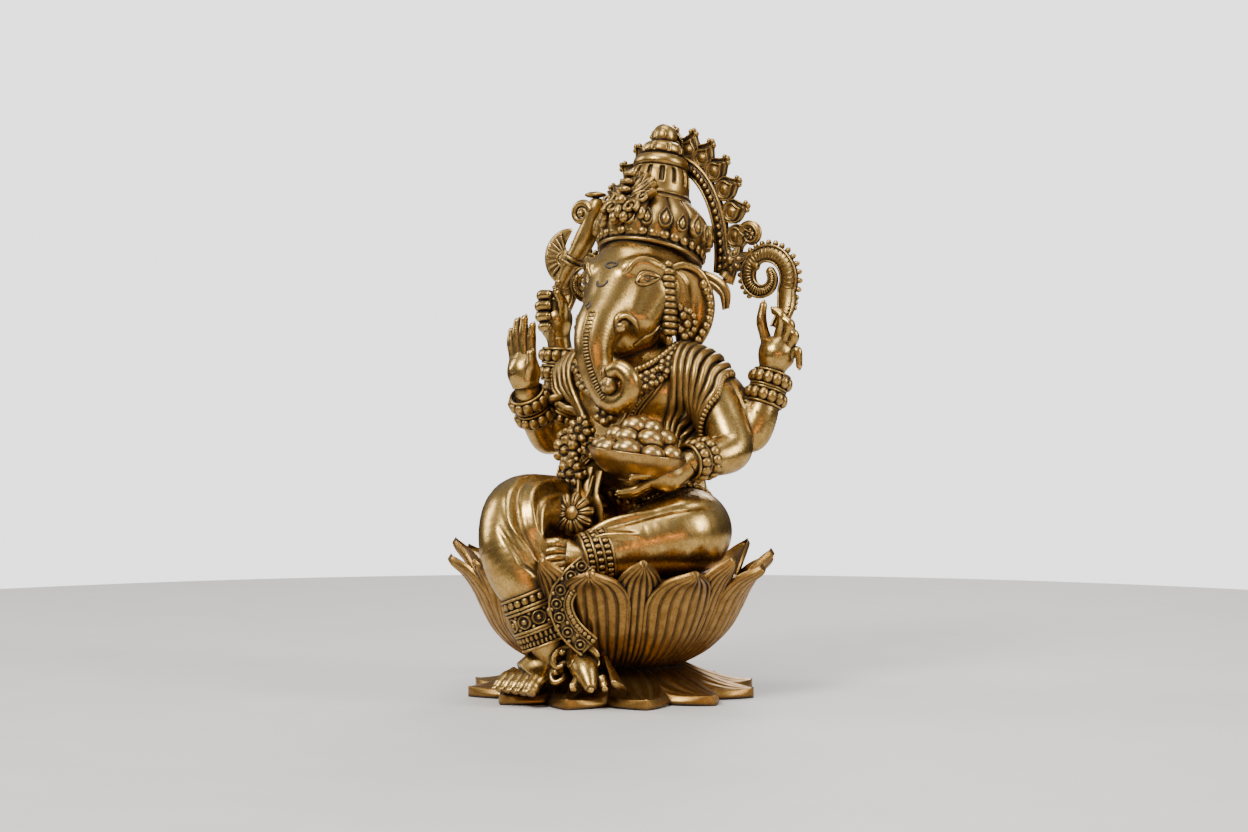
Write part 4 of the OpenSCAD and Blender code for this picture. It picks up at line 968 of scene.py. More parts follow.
# ---- Scrollwork beside the arch ----
# On each side a boss joins the arch to a great ribbed curl, whose tail comes down into the rear hand; its
# outer edge is set with small points, and a lesser curl springs above it.
for side, name, tail, curl_top in ((1, "left", (38.8, 27, 104.5), 131.8),
                                   (-1, "right", (-38.6, 27.5, 113), 136.5)):
    turn = np.radians(np.linspace(-30, 390, 130))
    t = np.linspace(0, 1, 130)
    reach = 8.3 * (1 - 0.68 * t)
    curl = np.stack([side * (31.9 + reach * np.cos(turn)), arch_y - 1.2 * t, 119.6 + reach * np.sin(turn)],
                    -1)
    line = np.concatenate([through([tail, (side * 40.4, 29.4, 109.4), curl[0]], 40)[:-1], curl])
    wide = taper(len(line), [0, 0.18, 0.6, 1], [1.7, 2.8, 2.3, 1.2])
    body = tube(line, wide, (0, 1, 0), 16, 1.0, 0.62)
    edge_way, _ = frames(line, (0, 1, 0))
    rails = [tube(line + way * edge_way * (wide - 0.2) - [0, 1.05, 0], 0.42, (0, 1, 0), 8) for way in (-1, 1)]
    rib = np.arange(8, len(line) - 4, 3)
    ribs = eggs(line[rib] - [0, 1.2, 0],
                np.hstack([wide[rib] * 0.72, 0 * wide[rib] + 0.55, 0 * wide[rib] + 0.42]), edge_way[rib],
                (0, 1, 0), np.cross(edge_way[rib], (0, 1, 0)), 6, 8)
    outer = np.arange(30, 122, 4)
    away = unit(line[outer] - [side * 31.9, arch_y, 119.6])
    points = eggs(line[outer] + away * (wide[outer] + 0.45), (0.85, 0.85, 1.15), np.cross(away, (0, 1, 0)),
                  (0, 1, 0), away)
    eye = eggs(line[-1:] - [0, 0.3, 0], (1.5, 1.2, 1.5), rows=9, columns=18)
    small_turn = np.radians(np.linspace(-150, -520, 70))
    small_r = 3.8 * (1 - 0.6 * np.linspace(0, 1, 70))
    small = np.stack([side * (26.5 + small_r * np.cos(small_turn)), arch_y + 0 * small_r,
                      curl_top + small_r * np.sin(small_turn)], -1)
    stem = through([(side * 21.5, arch_y, 124.5), (side * 22.4, arch_y, 128), tuple(small[0])], 20)[:-1]
    small_line = np.concatenate([stem, small])
    small_wide = taper(len(small_line), [0, 0.3, 1], [1.5, 1.55, 0.8])
    shells = [body, ribs, points, eye, tube(small_line, small_wide, (0, 1, 0), 14, 1, 0.75),
              tube(small_line - [0, 1.0, 0], 0.35, (0, 1, 0), 8)] + rails
    boss = np.array([side * 21.5, arch_y - 0.5, 124.5])
    shells.append(eggs(boss, (3.4, 2.8, 3.4), rows=11, columns=24))
    for leaf in range(7):
        way = np.radians(leaf * 360 / 7 + 10)
        out = np.array([np.cos(way), 0, np.sin(way)])
        shells.append(medallion(boss + out * 2.5 - [0, 2.0, 0], out * 0.5 - [0, 1, 0], out, 2.1, 0.8,
                                leaf_outline(0.6, 1.0), bordered, 8, 24))
    shells.append(eggs(boss - [0, 3.1, 0], (1.2, 0.9, 1.2), rows=9, columns=18))
    for low, high in (((side * 18, 31, 119.5), (side * 30.2, 30.6, 122.4)),
                      ((side * 19, 31.6, 118), (side * 30, 31, 126))):
        strap = through([low, boss + [0, 0.6, 0], high], 40)
        shells.append(tube(strap, taper(40, [0, 0.5, 1], [1.9, 2.1, 1.1]), (0, 1, 0), 12, 1, 0.7))
    fillet = through([(side * 8, 26, 121), (side * 15, 28, 119), (side * 19.6, 28.6, 115.6),
                      (side * 20.4, 28.6, 110.4)], 50)
    shells.append(tube(fillet, taper(50, [0, 0.6, 1], [2.2, 2.4, 1.2]), (0, 1, 0.3), 14, 1, 0.5))
    shells.append(tube(fillet - [0, 1.2, 0.3], 0.5, (0, 1, 0), 8))
    cast("scroll_curl_" + name, shells, jewel_brass, "brass_ornament", "scroll_" + name)

# ---- Axe ----
# A short battle axe in the rear right hand: a crescent blade with a ground edge and cut ribs, and a ringed
# handle whose top rolls over into a thick curl under a flat cap.
blade_at = np.array([-30.4, 20.4, 126.6])
blade_angle = np.radians(np.linspace(82, 262, 80))
blade_wide = 3.4 * np.sin(np.linspace(0.0, np.pi, 80)) ** 0.6 + 0.12
blade_ring = np.stack([np.cos(blade_angle), 0 * blade_angle, np.sin(blade_angle)], -1)
blade = tube(blade_at + (8.9 - blade_wide)[:, None] * blade_ring, blade_wide[:, None], (0, 1, 0), 20, 1, 0.34)
ribs = []
for way in np.radians(np.linspace(108, 240, 9)):
    out = np.array([np.cos(way), 0, np.sin(way)])
    ribs.append(tube(through([blade_at + 2.4 * out - [0, 0.9, 0], blade_at + 6.9 * out - [0, 1.0, 0]], 10),
                     0.5, (0, 1, 0), 8))
    ribs.append(eggs(blade_at + 7.2 * out - [0, 0.9, 0], (0.6, 0.5, 0.6), rows=6, columns=10))
axe_handle = digit([(-37, 21.4, 97, 1.3), (-36.6, 21, 108, 1.4), (-34.6, 20.7, 116.6, 1.6),
                    (-30, 20.5, 124.4, 2.3), (-24.6, 20.5, 131.6, 3.0), (-20.6, 20.6, 140.6, 2.6),
                    (-20.2, 20.8, 144.2, 2.2)], (0, 1, 0), 70, 20)
handle_rings = [hoop((-35.4 + k * 0.5, 20.8, 114.4 + 1.5 * k), (0.3, 0, 1), 1.75, 0.45, rows=32)
                for k in range(3)]
handle_rings += [hoop((-29.6 + k * 0.9, 20.5, 125.2 + 1.4 * k), (0.55, 0, 1), 2.9, 0.5, rows=32)
                 for k in range(2)]
socket = [spiral((-24.2, 18.6, 139.4), (1, 0, 0), (0, 0, 1), 3.5, 1.6, 0.2, 1.2),
          eggs((-20.8, 20.8, 145), (3.6, 2.6, 1.0), rows=9, columns=24),
          eggs((-31, 19, 126), (2.3, 1.4, 3.0), rows=11, columns=24),
          hoop((-31, 18.0, 126), (0, 1, 0), 1.9, 0.4, rows=32),
          eggs([(-24.2, 18.0, 139.4), (-33.4, 19.2, 119.2), (-27, 18.6, 130.4)], (1.2, 0.9, 1.2), rows=9,
               columns=18)]
cast("axe_blade", [blade, axe_handle] + ribs + handle_rings + socket, jewel_brass, "brass_body", "axe")

# ---- Necklace and sacred thread ----
# Three strings of round beads with rosettes lie round the neck; a flat double cord crosses the body from
# the left shoulder to the right hip. All are modelled straight on to the wax of the chest.
def blossom_outline(petal_count, depth):
    """A round flower: the radius dips between petals as the root of |cos| of half the petal angle."""
    def outline(phi):
        r = 1 - depth * (1 - np.abs(np.cos(petal_count * phi / 2)) ** 0.5)
        return r * np.sin(phi), r * np.cos(phi)
    return outline


def blossom_relief(petal_count):
    """A domed middle in a groove, and petals hollowed along their middle and cut apart."""
    def relief(rho, phi):
        dome = 1.25 * np.clip(1 - (rho / 0.34) ** 2, 0, 1) ** 0.5
        petal = 0.9 * window(rho, 0.42, 0.95, 0.1) * np.abs(np.cos(petal_count * phi / 2)) ** 0.4
        return dome + petal
    return relief


def ring_relief(rho, phi):
    """A round eye: a raised ring, a groove and a bead in the middle."""
    return 0.9 * np.exp(-(((rho - 0.8) / 0.13) ** 2)) + 1.1 * np.clip(1 - (rho / 0.42) ** 2, 0, 1) ** 0.5


def round_outline(phi):
    """A circle: the sine across and the cosine up."""
    return np.sin(phi), np.cos(phi)


UPPER_FLESH = TORSO + [ARM_FRONT_LEFT, ARM_FRONT_RIGHT]
strings = []
for row in range(3):
    turn = np.radians(np.linspace(-20, 200, 44 - 2 * row))
    string = np.stack([(14.6 + 0.5 * row) * np.cos(turn), 13 - (14 + 0.6 * row) * np.sin(turn),
                       100 - 2.9 * row - (7.5 + 1.2 * row) * np.sin(turn)], -1)
    laid_string, _ = settle(string, UPPER_FLESH, 0.75)
    strings.append(eggs(laid_string, 1.32 - 0.08 * row * np.ones(3)))
for turn in np.radians((22, 48, 132, 158)):
    place = np.array([[16.2 * np.cos(turn), 13 - 15 * np.sin(turn), 96 - 9 * np.sin(turn)]])
    place, away = settle(place, UPPER_FLESH, 1.5)
    strings.append(medallion(place[0], away[0], (0, 0, 1), 3.0, 1.0, blossom_outline(6, 0.3),
                             blossom_relief(6)))
cast("necklace_strings", strings, jewel_brass, "brass_ornament", "necklace")
thread_at = [(16, 8, 97), (13.4, 1, 89), (9.4, -2, 82.6), (4, -5, 76.4), (-3, -6, 70), (-10, -4, 64.6),
             (-16, 2, 60.4), (-19.6, 10, 57)]
thread_line, thread_normal = settle(through(thread_at, 80), TORSO, 0.15)
thread_side = unit(np.cross(unit(np.gradient(thread_line, axis=0)), thread_normal))
thread = [tube(settle(thread_line + way * thread_side, TORSO, 0.3)[0], 0.45, (1, 0, 0), 8)
          for way in (-1.7, -0.7, 0.7, 1.7)]
thread.append(eggs(settle(through(thread_at, 66), TORSO, 0.35)[0], (0.6, 0.6, 0.6), rows=5, columns=8))
cast("sacred_thread_cords", thread, jewel_brass, "brass_body", "sacred_thread")

# ---- Shawl ----
# A narrow cloth thrown over the left shoulder in seven pressed folds with a beaded hem; behind, its end
# falls to the seat. The folds were combed into the wax.
shawl_folds = []
for fold in range(7):
    spine = [(14.8 + 1.7 * fold, 23 - 0.3 * fold, 70), (14.6 + 1.8 * fold, 25, 84),
             (15.4 + 1.9 * fold, 20, 96 - 0.9 * fold), (16.2 + 2.0 * fold, 12, 98 - 1.4 * fold),
             (18 + 1.8 * fold, 5.4 + 0.7 * fold, 91.6 - 1.0 * fold),
             (19 + 1.3 * fold, 2.4 + 0.9 * fold, 83 - 0.4 * fold),
             (19.4 + 0.8 * fold, 1.4 + 1.0 * fold, 74), (19.4 + 0.6 * fold, 1.8 + 1.0 * fold, 66)]
    line, _ = settle(through(spine, 80), UPPER_FLESH, 0.5, 2.0)
    thick = 1.32 - 0.28 * np.linspace(0, 1, 80) ** 2
    shawl_folds.append(tube(line, thick[:, None], (1, 0.2, 0.1), 12))
    shawl_folds.append(tube(line[20:70] + [0.25, -0.3, 0.35], 0.95, (1, 0.2, 0.1), 10))
hem, _ = settle(line + [1.3, 0, 0], UPPER_FLESH, 1.0, 2.0)
shawl_folds.append(eggs(hem[4:78:2], (0.85, 0.85, 0.85)))
for fall in range(4):
    drop = through([(19 + 1.7 * fall, 25 - 1.6 * fall, 70), (20.6 + 1.8 * fall, 26 - 2.6 * fall, 56),
                    (22.6 + 1.7 * fall, 26 - 3 * fall, 44), (24 + 1.6 * fall, 26 - 3.4 * fall, 36)], 40)
    drop, _ = settle(drop, FLESH, 0.3, 2.0)
    shawl_folds.append(tube(drop, 1.2, (1, 0.2, 0.1), 10))
shawl_folds.append(eggs(drop[::2] + [0.7, 0, 0], (0.7, 0.7, 0.9)))
cloth_brass = patina_and_painted_shade_brass("cloth_brass", (0.46, 0.295, 0.095), 0.27, 1.0, 0.06)
cast("shawl_folds", shawl_folds, cloth_brass, "brass_body", "shawl")
right_cloth = []
for fold in range(4):
    spine = [(-20 - 1.6 * fold, 19, 96 - 1.1 * fold), (-19.6 - 1.9 * fold, 12, 98 - 1.5 * fold),
             (-19 - 1.7 * fold, 4.6, 91 - fold), (-17.6 - 1.2 * fold, 0.2, 83),
             (-15.4 - 0.8 * fold, -2.4, 75)]
    line, _ = settle(through(spine, 60), UPPER_FLESH, 0.35, 2.0)
    right_cloth.append(tube(line, 1.1, (1, 0.2, 0.1), 10))
right_cloth.append(eggs(settle(line[::2] - [1.2, 0, 0], UPPER_FLESH, 0.8, 2.0)[0], (0.8, 0.8, 0.8)))
cast("right_shoulder_cloth", right_cloth, cloth_brass, "brass_body")

# ---- Garland and flower ----
# A rope of rosettes down the chest, its two cords meeting over one large open flower at the lap.
garland = []
for place, size, petal_count in (((4.4, -9.6, 80), 3.6, 6), ((-3, -11.6, 75.4), 4.0, 7),
                                 ((-6.6, -13.4, 69.6), 4.4, 6), ((-3.4, -15.2, 63.2), 4.2, 7),
                                 ((-10, -8.6, 72.6), 3.4, 6), ((0.4, -10.6, 70.4), 3.4, 6)):
    face = unit(np.array(place) - [0, 13, 70]) + [0.25, -0.5, 0.1]
    garland.append(medallion(place, face, (0, 0, 1), size, 1.5, blossom_outline(petal_count, 0.35),
                             blossom_relief(petal_count), 14, 56, back=2.2))
    around = np.arange(5)[:, None] * AROUND / 5
    across = unit(np.cross((0, 0, 1), face))
    beads = (np.array(place)
             + size * 0.95 * (np.cos(around) * across + np.sin(around) * np.array([0, 0, 1]))
             - unit(face) * 0.9)
    garland.append(eggs(beads[:3], (0.9, 0.9, 0.9)))
for cord_at in ([(-9, -11, 68), (-8.6, -14.4, 61.4), (-5.6, -17.6, 55.8), (-1.4, -20, 52.6)],
                [(-1, -14.4, 62), (0.8, -17.4, 57.4), (1.4, -20, 52.8)],
                [(-7, -12.5, 66), (-6.2, -15.8, 60), (-3.4, -18.6, 55), (-0.4, -20.4, 52.4)],
                [(2.4, -12, 62.4), (3.4, -16, 57.6), (2.8, -19.6, 53)]):
    line = through(cord_at, 40)
    garland.append(tube(line, 0.62, (1, 0, 0), 8))
    garland.append(eggs(line[2::2] - [0, 0.45, 0], (0.55, 0.55, 0.7), rows=5, columns=8))
for k, wide in enumerate((3.2, 2.8, 2.4)):
    cloth = through([(-4 + 3.6 * k, -10.5, 66 - k), (-3.4 + 3.4 * k, -13.6, 60 - k),
                     (-1.6 + 3.2 * k, -14.4, 54), (-2 + 3.4 * k, -13.4, 47)], 40)
    garland.append(tube(cloth, taper(40, [0, 0.5, 1], [0.6 * wide, 0.85 * wide, wide]), (0, 1, 0), 14, 1,
                        0.4))
cast("garland_rosettes", garland, jewel_brass, "brass_body", "garland")
flower_face, flower_place = unit(np.array([0.28, -1, 0.16])), np.array([1.4, -21, 52.2])
flower_across = unit(np.cross((0, 0, 1), flower_face))
flower_up = np.cross(flower_face, flower_across)


def petal_outline(phi):
    """A blunt petal: an oval a little narrower at its foot."""
    return (0.56 + 0.12 * np.cos(phi)) * np.sin(phi), np.cos(phi)


def petal_relief(rho, phi):
    """A dome, with a narrow groove down its middle line."""
    groove = 0.35 * np.exp(-((rho * np.sin(phi) / 0.12) ** 2))
    return 0.95 * np.clip(1 - rho**2, 0, 1) ** 0.5 - groove + 0 * phi


flower = []
for petal in range(10):
    way = AROUND * (petal + 0.25) / 10
    out = np.sin(way) * flower_across + np.cos(way) * flower_up
    foot_at = flower_place + out * 3.9 + flower_face * 0.2 * (petal % 2)
    flower.append(medallion(foot_at, flower_face + 0.3 * out, out, 2.5, 1.3, petal_outline, petal_relief,
                            10, 32, back=1.0))
flower.append(eggs(flower_place + flower_face * 0.9, (1.9, 1.0, 2.2), flower_across, flower_face, flower_up,
                   11, 24))
flower.append(medallion(flower_place, flower_face, flower_up, 3.4, 0.3, round_outline, ring_relief, back=2.2))
cast("flower_pendant_petals", flower, jewel_brass, "brass_body", "flower_pendant")

# ---- Bowl of sweets ----
# A shallow turned bowl tipped a little on the front left hand, heaped with egg-shaped sweets; the trunk
# holds one more.
bowl_low, bowl_high = span("bowl")
bowl_foot = np.array([*((bowl_low + bowl_high) / 2)[:2], bowl_low[2]])
bowl_tilt = np.radians(8)
bowl_turn = np.radians(35)
bowl_axis = np.array([np.sin(bowl_turn), -np.cos(bowl_turn), 0])


def in_bowl(local):
    """Local shapes turned by the bowl's tilt about the level line across it, then set on its foot."""
    c, s = np.cos(bowl_tilt), -np.sin(bowl_tilt)
    along_axis = (local @ bowl_axis)[..., None]
    turned_part = local * c + np.cross(bowl_axis, local) * s + bowl_axis * along_axis * (1 - c)
    return turned_part + bowl_foot + [0, 0, 0.6]


bowl_wall = through([(0.5, 0), (4.4, 0), (5, 0.7), (9.4, 2.2), (12.8, 5.2), (14.1, 7.6), (13.9, 8.2),
                     (13.2, 7.8), (11.8, 5.8), (8.6, 3.2), (4, 2), (0.5, 1.9)], 90)
bowl_brass = patina_and_painted_shade_brass("bowl_brass", (0.46, 0.28, 0.09), 0.24, 1.0, 0.04)
cast("bowl_wall", [in_bowl(turned(bowl_wall))], bowl_brass, "brass_body", "bowl")
sweet_places = []
for ring_r, count, turn, high in ((10.2, 9, 0.1, 8.6), (6.6, 6, 0.5, 12.4), (2.9, 3, 0.2, 15.4)):
    angle = turn + np.arange(count) * AROUND / count
    sweet_places.append(np.stack([ring_r * np.cos(angle), ring_r * np.sin(angle),
                                  high + 0.35 * np.sin(5 * angle + high)], -1))
sweet_places = np.concatenate(sweet_places)
sweet_out = unit(sweet_places * [1, 1, 0] + [0.01, 0, 0])
sweet_sizes = np.array([3.8, 3.4, 2.9]) * (1 + 0.06 * np.sin(3.7 * np.arange(len(sweet_places))))[:, None]
sweets = eggs(sweet_places, sweet_sizes, np.cross((0, 0, 1), sweet_out), sweet_out, (0, 0, 1), 11, 24)
heart = turned(through([(0.5, 3), (9, 6), (9.6, 9), (6, 13), (0.5, 15)], 20), 40)
cast("sweets_heap", [in_bowl(sweets), in_bowl(heart)], tusk_brass, "brass_highlight", "sweets")
held_low, held_high = span("held_sweet")
held = eggs((held_low + held_high) / 2, (held_high - held_low) / 2 * [1, 1, 1.05], rows=15, columns=32)
held_dot = [eggs((held_low + held_high) / 2 + 2.45 * unit(np.array(way, float)), (0.55, 0.55, 0.55))
            for way in ((-0.5, -1, 0.3), (0.1, -1, 0.5), (-0.1, -1, -0.3), (0.5, -1, 0))]
cast("held_sweet_ball", [held] + held_dot, tusk_brass, "brass_highlight", "held_sweet")

# ---- Belt ----
# A chain of beads and eyes round the hips, over the top of the folded leg.
belt_turn = np.radians(np.linspace(-150, 210, 82))[:-1]
belt_line = np.stack([25 * np.cos(belt_turn), 13 - 20 * np.sin(belt_turn), 58.6 - 2.2 * np.sin(belt_turn)],
                     -1)
belt = []
for row, size in ((0, 1.1), (-2.3, 0.95)):
    belt_at, _ = settle(belt_line + [0, 0, row], FLESH, 0.6)
    belt.append(eggs(belt_at, (size, size, size)))
lap_line = through([(22, -2, 59.4), (15, -7.6, 57), (8.6, -11.6, 53), (6.4, -16.4, 47.6),
                    (8.2, -20.4, 43.6)], 30)
for row in (-1.1, 1.1):
    belt.append(eggs(settle(lap_line + [row, 0, -row * 0.4], FLESH, 0.5)[0], (0.95, 0.95, 0.95)))
cast("belt_chain", belt, jewel_brass, "brass_ornament", "belt")

# ---- Anklets ----
# Broad cuffs: on the folded leg three rows of beads between hoops, on the hanging leg a row of beads, a
# belt of ringed eyes and a ribbed hem.
left_axis = unit(np.array([6.4, -28.4, 39.6]) - [14.6, -19.2, 42.2])
left_at = np.array([14, -20.4, 42])
anklet = []
for at, radius, count in ((2.2, 7.2, 26), (4.6, 6.9, 22), (7.0, 6.4, 26)):
    anklet.append(bead_row(left_at + left_axis * at, left_axis, radius, count, (0.75, 0.7, 0.95)))
for at in (0.9, 3.4, 5.8, 8.3):
    anklet.append(hoop(left_at + left_axis * at, left_axis, 7.3 - 0.1 * at, 0.42))
anklet.append(tube(np.stack([left_at + left_axis * at for at in np.linspace(0.8, 8.4, 12)]),
                   np.linspace(6.9, 6.1, 12)[:, None], (0, 0, 1), 48))
cast("anklet_left_rows", anklet, jewel_brass, "brass_ornament", "anklet_left")
right_top, right_low = np.array([-3.2, -36, 30.8]), np.array([1.4, -33, 16.8])
right_axis = unit(right_low - right_top)
cuff = [bead_row(right_top + right_axis * 1.6, right_axis, 7.2, 20, (1.12, 0.9, 1.2)),
        bead_row(right_top + right_axis * 11.6, right_axis, 6.7, 30, (0.62, 0.8, 1.0)),
        bead_row(right_top + right_axis * 13.4, right_axis, 6.5, 34, (0.5, 0.6, 0.8))]
for at, radius in ((0.1, 7.4), (3.2, 7.5), (4.2, 7.4), (9.6, 7.3), (10.4, 7.1), (14.6, 6.7)):
    cuff.append(hoop(right_top + right_axis * at, right_axis, radius, 0.5, 0.9))
cuff.append(tube(np.stack([right_top + right_axis * at for at in np.linspace(0.2, 14.4, 20)]),
                 np.linspace(7, 6.1, 20)[:, None], (0, 1, 0), 56))
cuff_side = unit(np.cross(right_axis, (0, 1, 0.0)))
cuff_front = np.cross(right_axis, cuff_side)
for eye in range(10):
    way = AROUND * eye / 10 + 0.2
    out = np.cos(way) * cuff_side + np.sin(way) * cuff_front
    cuff.append(medallion(right_top + right_axis * 6.9 + out * 6.75, out, right_axis, 2.25, 1.0,
                          round_outline, ring_relief, 14, 32, back=1.0))
    mid_way = way + AROUND / 20
    out = np.cos(mid_way) * cuff_side + np.sin(mid_way) * cuff_front
    cuff.append(eggs(np.stack([right_top + right_axis * at + out * 7.0 for at in (5.0, 8.8)]),
                     (0.65, 0.65, 0.65)))
cast("anklet_right_rows", cuff, jewel_brass, "brass_ornament", "anklet_right")

# ---- Sash end ----
# The embroidered end of the sash falls from under the left foot over the cup's rim: a flat strip with
# raised cords, a column of small beads and a column of ringed eyes.
sash_line = through([(16.4, -34.4, 39), (14, -37.6, 35.6), (11.2, -39, 31), (10.8, -38.6, 26.6),
                     (12.6, -36.6, 21.4), (16.4, -33.8, 17)], 70)
sash_side, sash_front = frames(sash_line, (-0.45, 0.89, 0))
sash_face = sash_front * np.sign(sash_front[:, 1:2] * -1)
sash = [tube(sash_line, 3.1, (-0.45, 0.89, 0), 20, 1, 0.3)]
for off in (-3, -1.0, 3):
    sash.append(tube(sash_line + off * sash_side + 0.95 * sash_face, 0.42, (-0.45, 0.89, 0), 8))
pick = np.linspace(1, 68, 26).astype(int)
sash.append(eggs(sash_line[pick] - 2.0 * sash_side[pick] + 1.2 * sash_face[pick], (0.75, 0.75, 0.75),
                 rows=5, columns=8))
for pick in np.linspace(5, 64, 7).astype(int):
    sash.append(medallion(sash_line[pick] + 1.0 * sash_side[pick] + 1.25 * sash_face[pick], sash_face[pick],
                          (0, 0, 1), 1.6, 0.9, round_outline, ring_relief, 12, 28, back=0.8))
    if pick < 60:
        for off in (-0.4, 2.4):
            sash.append(eggs(sash_line[pick + 5] + off * sash_side[pick] + 1.2 * sash_face[pick],
                             (0.6, 0.6, 0.6)))
cast("sash_strip", sash, jewel_brass, "brass_ornament", "sash_band")

# ---- Mouse ----
# The small companion noses down over the plate's edge with its ribbon curling behind it.
mouse_chain = [(8.6, -28.6, 14.4, 3.6), (11.6, -31, 12.6, 4.1), (14.6, -33.4, 10.4, 3.7), (17, -35.2, 8, 2.5),
               (18.8, -36.6, 6, 1.5)]
mouse_path = through(np.array(mouse_chain)[:, :3], 60)
mouse_reach = taper(60, [0, 0.6, 1], [5.4, 5, 2.2])
mouse = [skin(mouse_path, (0, -0.4, 1), [mouse_chain], mouse_reach, 56)]
mouse.append(eggs((18.9, -36.8, 5.8), (1.1, 1.0, 0.9), rows=9, columns=18))
for ear_at, ear_face in (((16.4, -31.6, 12.6), (0.75, -0.5, 0.5)), ((11, -35, 12.6), (-0.5, -0.8, 0.5))):
    mouse.append(hoop(ear_at, ear_face, 1.25, 0.5, rows=32))
    mouse.append(eggs(ear_at, (0.9, 0.9, 0.35), np.cross(unit(np.array(ear_face)), (0, 0, 1)), (0, 0, 1),
                      ear_face, 7, 14))
mouse.append(hoop((17.6, -33.8, 8.9), (0.8, -0.5, 0.3), 0.55, 0.2, rows=24, columns=6))
mouse.append(hoop((14.4, -36.3, 9), (-0.3, -0.9, 0.3), 0.55, 0.2, rows=24, columns=6))
mouse += [digit([(13.6, -35.4, 8, 1.3), (13.6, -37.2, 6.4, 1.2), (14.4, -38.4, 5.4, 0.8)], (0, 0, 1)),
          digit([(19.4, -32.4, 8.6, 1.3), (21, -33.4, 6.8, 1.2), (22, -34.4, 5.6, 0.8)], (0, 0, 1))]
ribbon_curls = (
    [(9.6, -30.6, 16.4), (6.6, -33.4, 16), (5.2, -35.2, 13.4), (6.4, -35.6, 11), (8.2, -34.6, 11.6)],
    [(8.6, -31, 13), (6, -33.8, 11), (4.4, -35, 8.6), (5.8, -35.6, 6.8), (7.8, -34.6, 7.6), (7.6, -33.4, 9)],
    [(12, -32, 16.4), (15, -32.6, 16.8), (17.4, -32, 15), (17, -31.4, 13.6)],
)
for curl_at in ribbon_curls:
    line = through(curl_at, 40)
    mouse.append(tube(line, taper(40, [0, 0.4, 1], [0.8, 1.15, 0.6]), (0, 0, 1), 10))
mouse.append(eggs([(7.6, -34.4, 15), (6.2, -35.6, 9.6), (4.6, -34.6, 12.4)], (1.0, 1.0, 1.0)))
mouse.append(tube(through([(16, -27, 15), (20.4, -29.2, 10.6), (24.6, -31.4, 6.4)], 20),
                  np.linspace(0.8, 3.6, 20)[:, None], (-0.4, 0.5, 1), 12, 1, 0.3))
cast("mouse_body", mouse, skin_brass, "brass_body", "mouse")

# ---- Studio ----
# A pale table top under the figure against a white wall, a soft lamp on each side, one overhead and a
# low warm one in front.
AZIMUTH, ELEVATION, DISTANCE = np.radians(35), np.radians(0.5), 0.6953
back = np.array([np.sin(AZIMUTH) * np.cos(ELEVATION), -np.cos(AZIMUTH) * np.cos(ELEVATION),
                 np.sin(ELEVATION)])
right = np.array([np.cos(AZIMUTH), np.sin(AZIMUTH), 0])
aim = np.array([0, 0, 78 * mm]) + right * 3.4 * mm + np.array([0, 0, 1.3 * mm])
view = bpy.data.cameras.new("view")
view.lens, view.sensor_width, view.clip_start = 70, 36, 0.01
camera = bpy.data.objects.new("view", view)
bpy.context.collection.objects.link(camera)
camera.location = aim + back * DISTANCE
camera.rotation_euler = Vector(-back).to_track_quat("-Z", "Y").to_euler()
bpy.context.scene.camera = camera

paper = speckled("paper", 40, (0.52, 0.49, 0.46, 1), (0.57, 0.545, 0.515, 1))
floor = bpy.data.meshes.new("floor")
rim = np.linspace(0, AROUND, 97)[:-1]
table_radius = 0.46
table = np.stack([table_radius * np.cos(rim), table_radius * np.sin(rim), 0 * rim], -1)
floor.from_pydata(table.tolist(), [], [tuple(range(len(rim)))])
floor_piece = bpy.data.objects.new("floor", floor)
bpy.context.collection.objects.link(floor_piece)
floor.materials.append(paper)


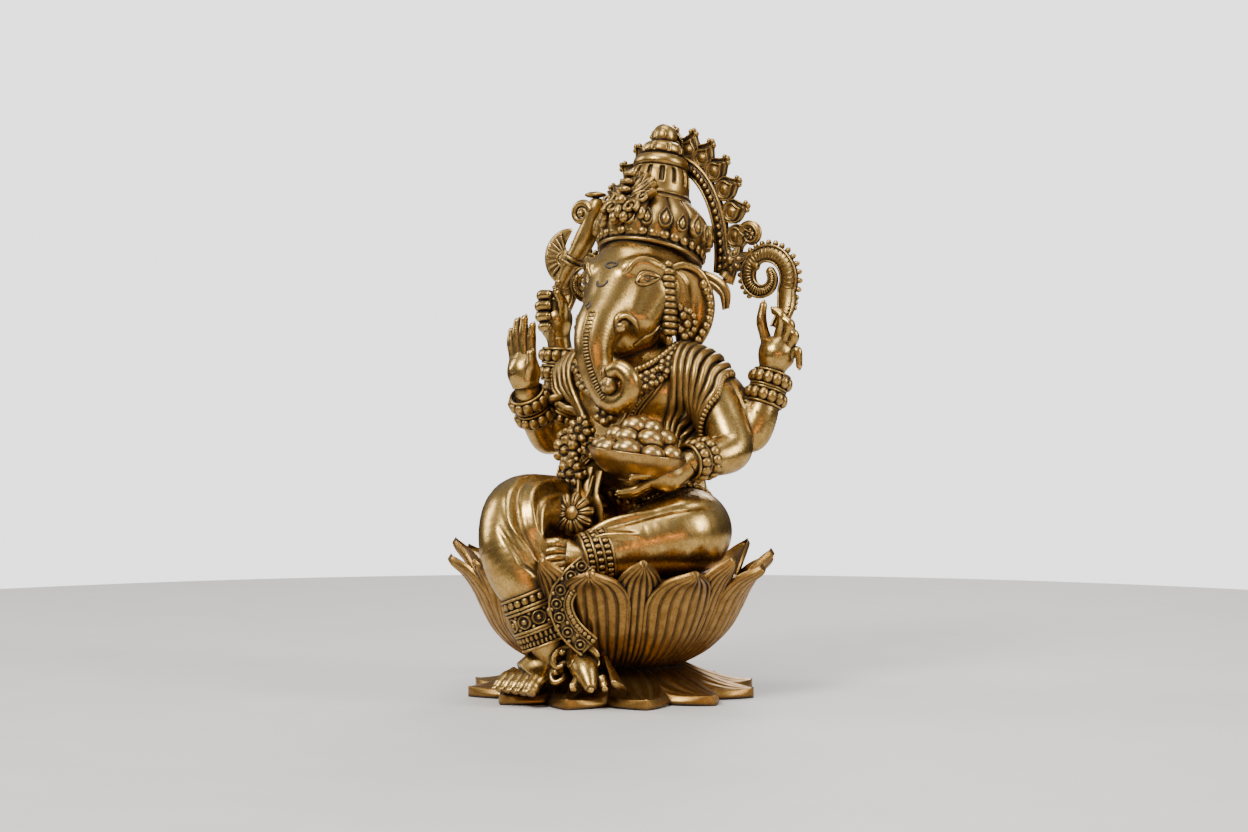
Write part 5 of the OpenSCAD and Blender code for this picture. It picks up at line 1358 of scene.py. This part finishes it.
def lamp(name, azimuth, elevation, distance, wide, tall, power, tint=(1, 1, 1)):
    """A rectangular soft lamp that looks at the middle of the figure."""
    a, e = np.radians(azimuth), np.radians(elevation)
    way = np.array([np.sin(a) * np.cos(e), -np.cos(a) * np.cos(e), np.sin(e)])
    light = bpy.data.lights.new(name, "AREA")
    light.shape, light.size, light.size_y, light.energy, light.color = "RECTANGLE", wide, tall, power, tint
    item = bpy.data.objects.new(name, light)
    bpy.context.collection.objects.link(item)
    item.location = np.array([0, 0, 0.08]) + way * distance
    item.rotation_euler = Vector(-way).to_track_quat("-Z", "Y").to_euler()


lamp("key", 2, 40, 0.9, 0.26, 0.26, 10)
lamp("fill", 100, 24, 1.0, 0.22, 0.5, 6.5)
lamp("top", 40, 82, 0.9, 0.45, 0.45, 5)
lamp("rim_left", -70, 25, 1.0, 0.16, 0.5, 4.5)
lamp("rim", 200, 35, 1.1, 0.4, 0.4, 7)
lamp("warm_low", 50, 3, 0.8, 0.5, 0.06, 0.8, (1, 0.5, 0.22))
world = bpy.data.worlds.new("room")
world.use_nodes = True
sky, sky_link = world.node_tree.nodes, world.node_tree.links.new
way_out, split = sky.new("ShaderNodeTexCoord"), sky.new("ShaderNodeSeparateXYZ")
ramp = sky.new("ShaderNodeValToRGB")
seen, blend = sky.new("ShaderNodeLightPath"), sky.new("ShaderNodeMix")
blend.data_type = "RGBA"
stops = ramp.color_ramp.elements
stops[0].position, stops[0].color = 0.50, (0.05, 0.035, 0.025, 1)
stops[1].position, stops[1].color = 0.86, (0.42, 0.43, 0.45, 1)
height = sky.new("ShaderNodeMapRange")
height.inputs["From Min"].default_value = -1
sky_link(way_out.outputs["Generated"], split.inputs[0])
sky_link(split.outputs["Z"], height.inputs["Value"])
sky_link(height.outputs["Result"], ramp.inputs["Fac"])
sky_link(seen.outputs["Is Camera Ray"], blend.inputs[0])
sky_link(ramp.outputs["Color"], blend.inputs[6])
blend.inputs[7].default_value = (2.4, 2.4, 2.4, 1)
sky_link(blend.outputs[2], sky["Background"].inputs["Color"])
bpy.context.scene.world = world
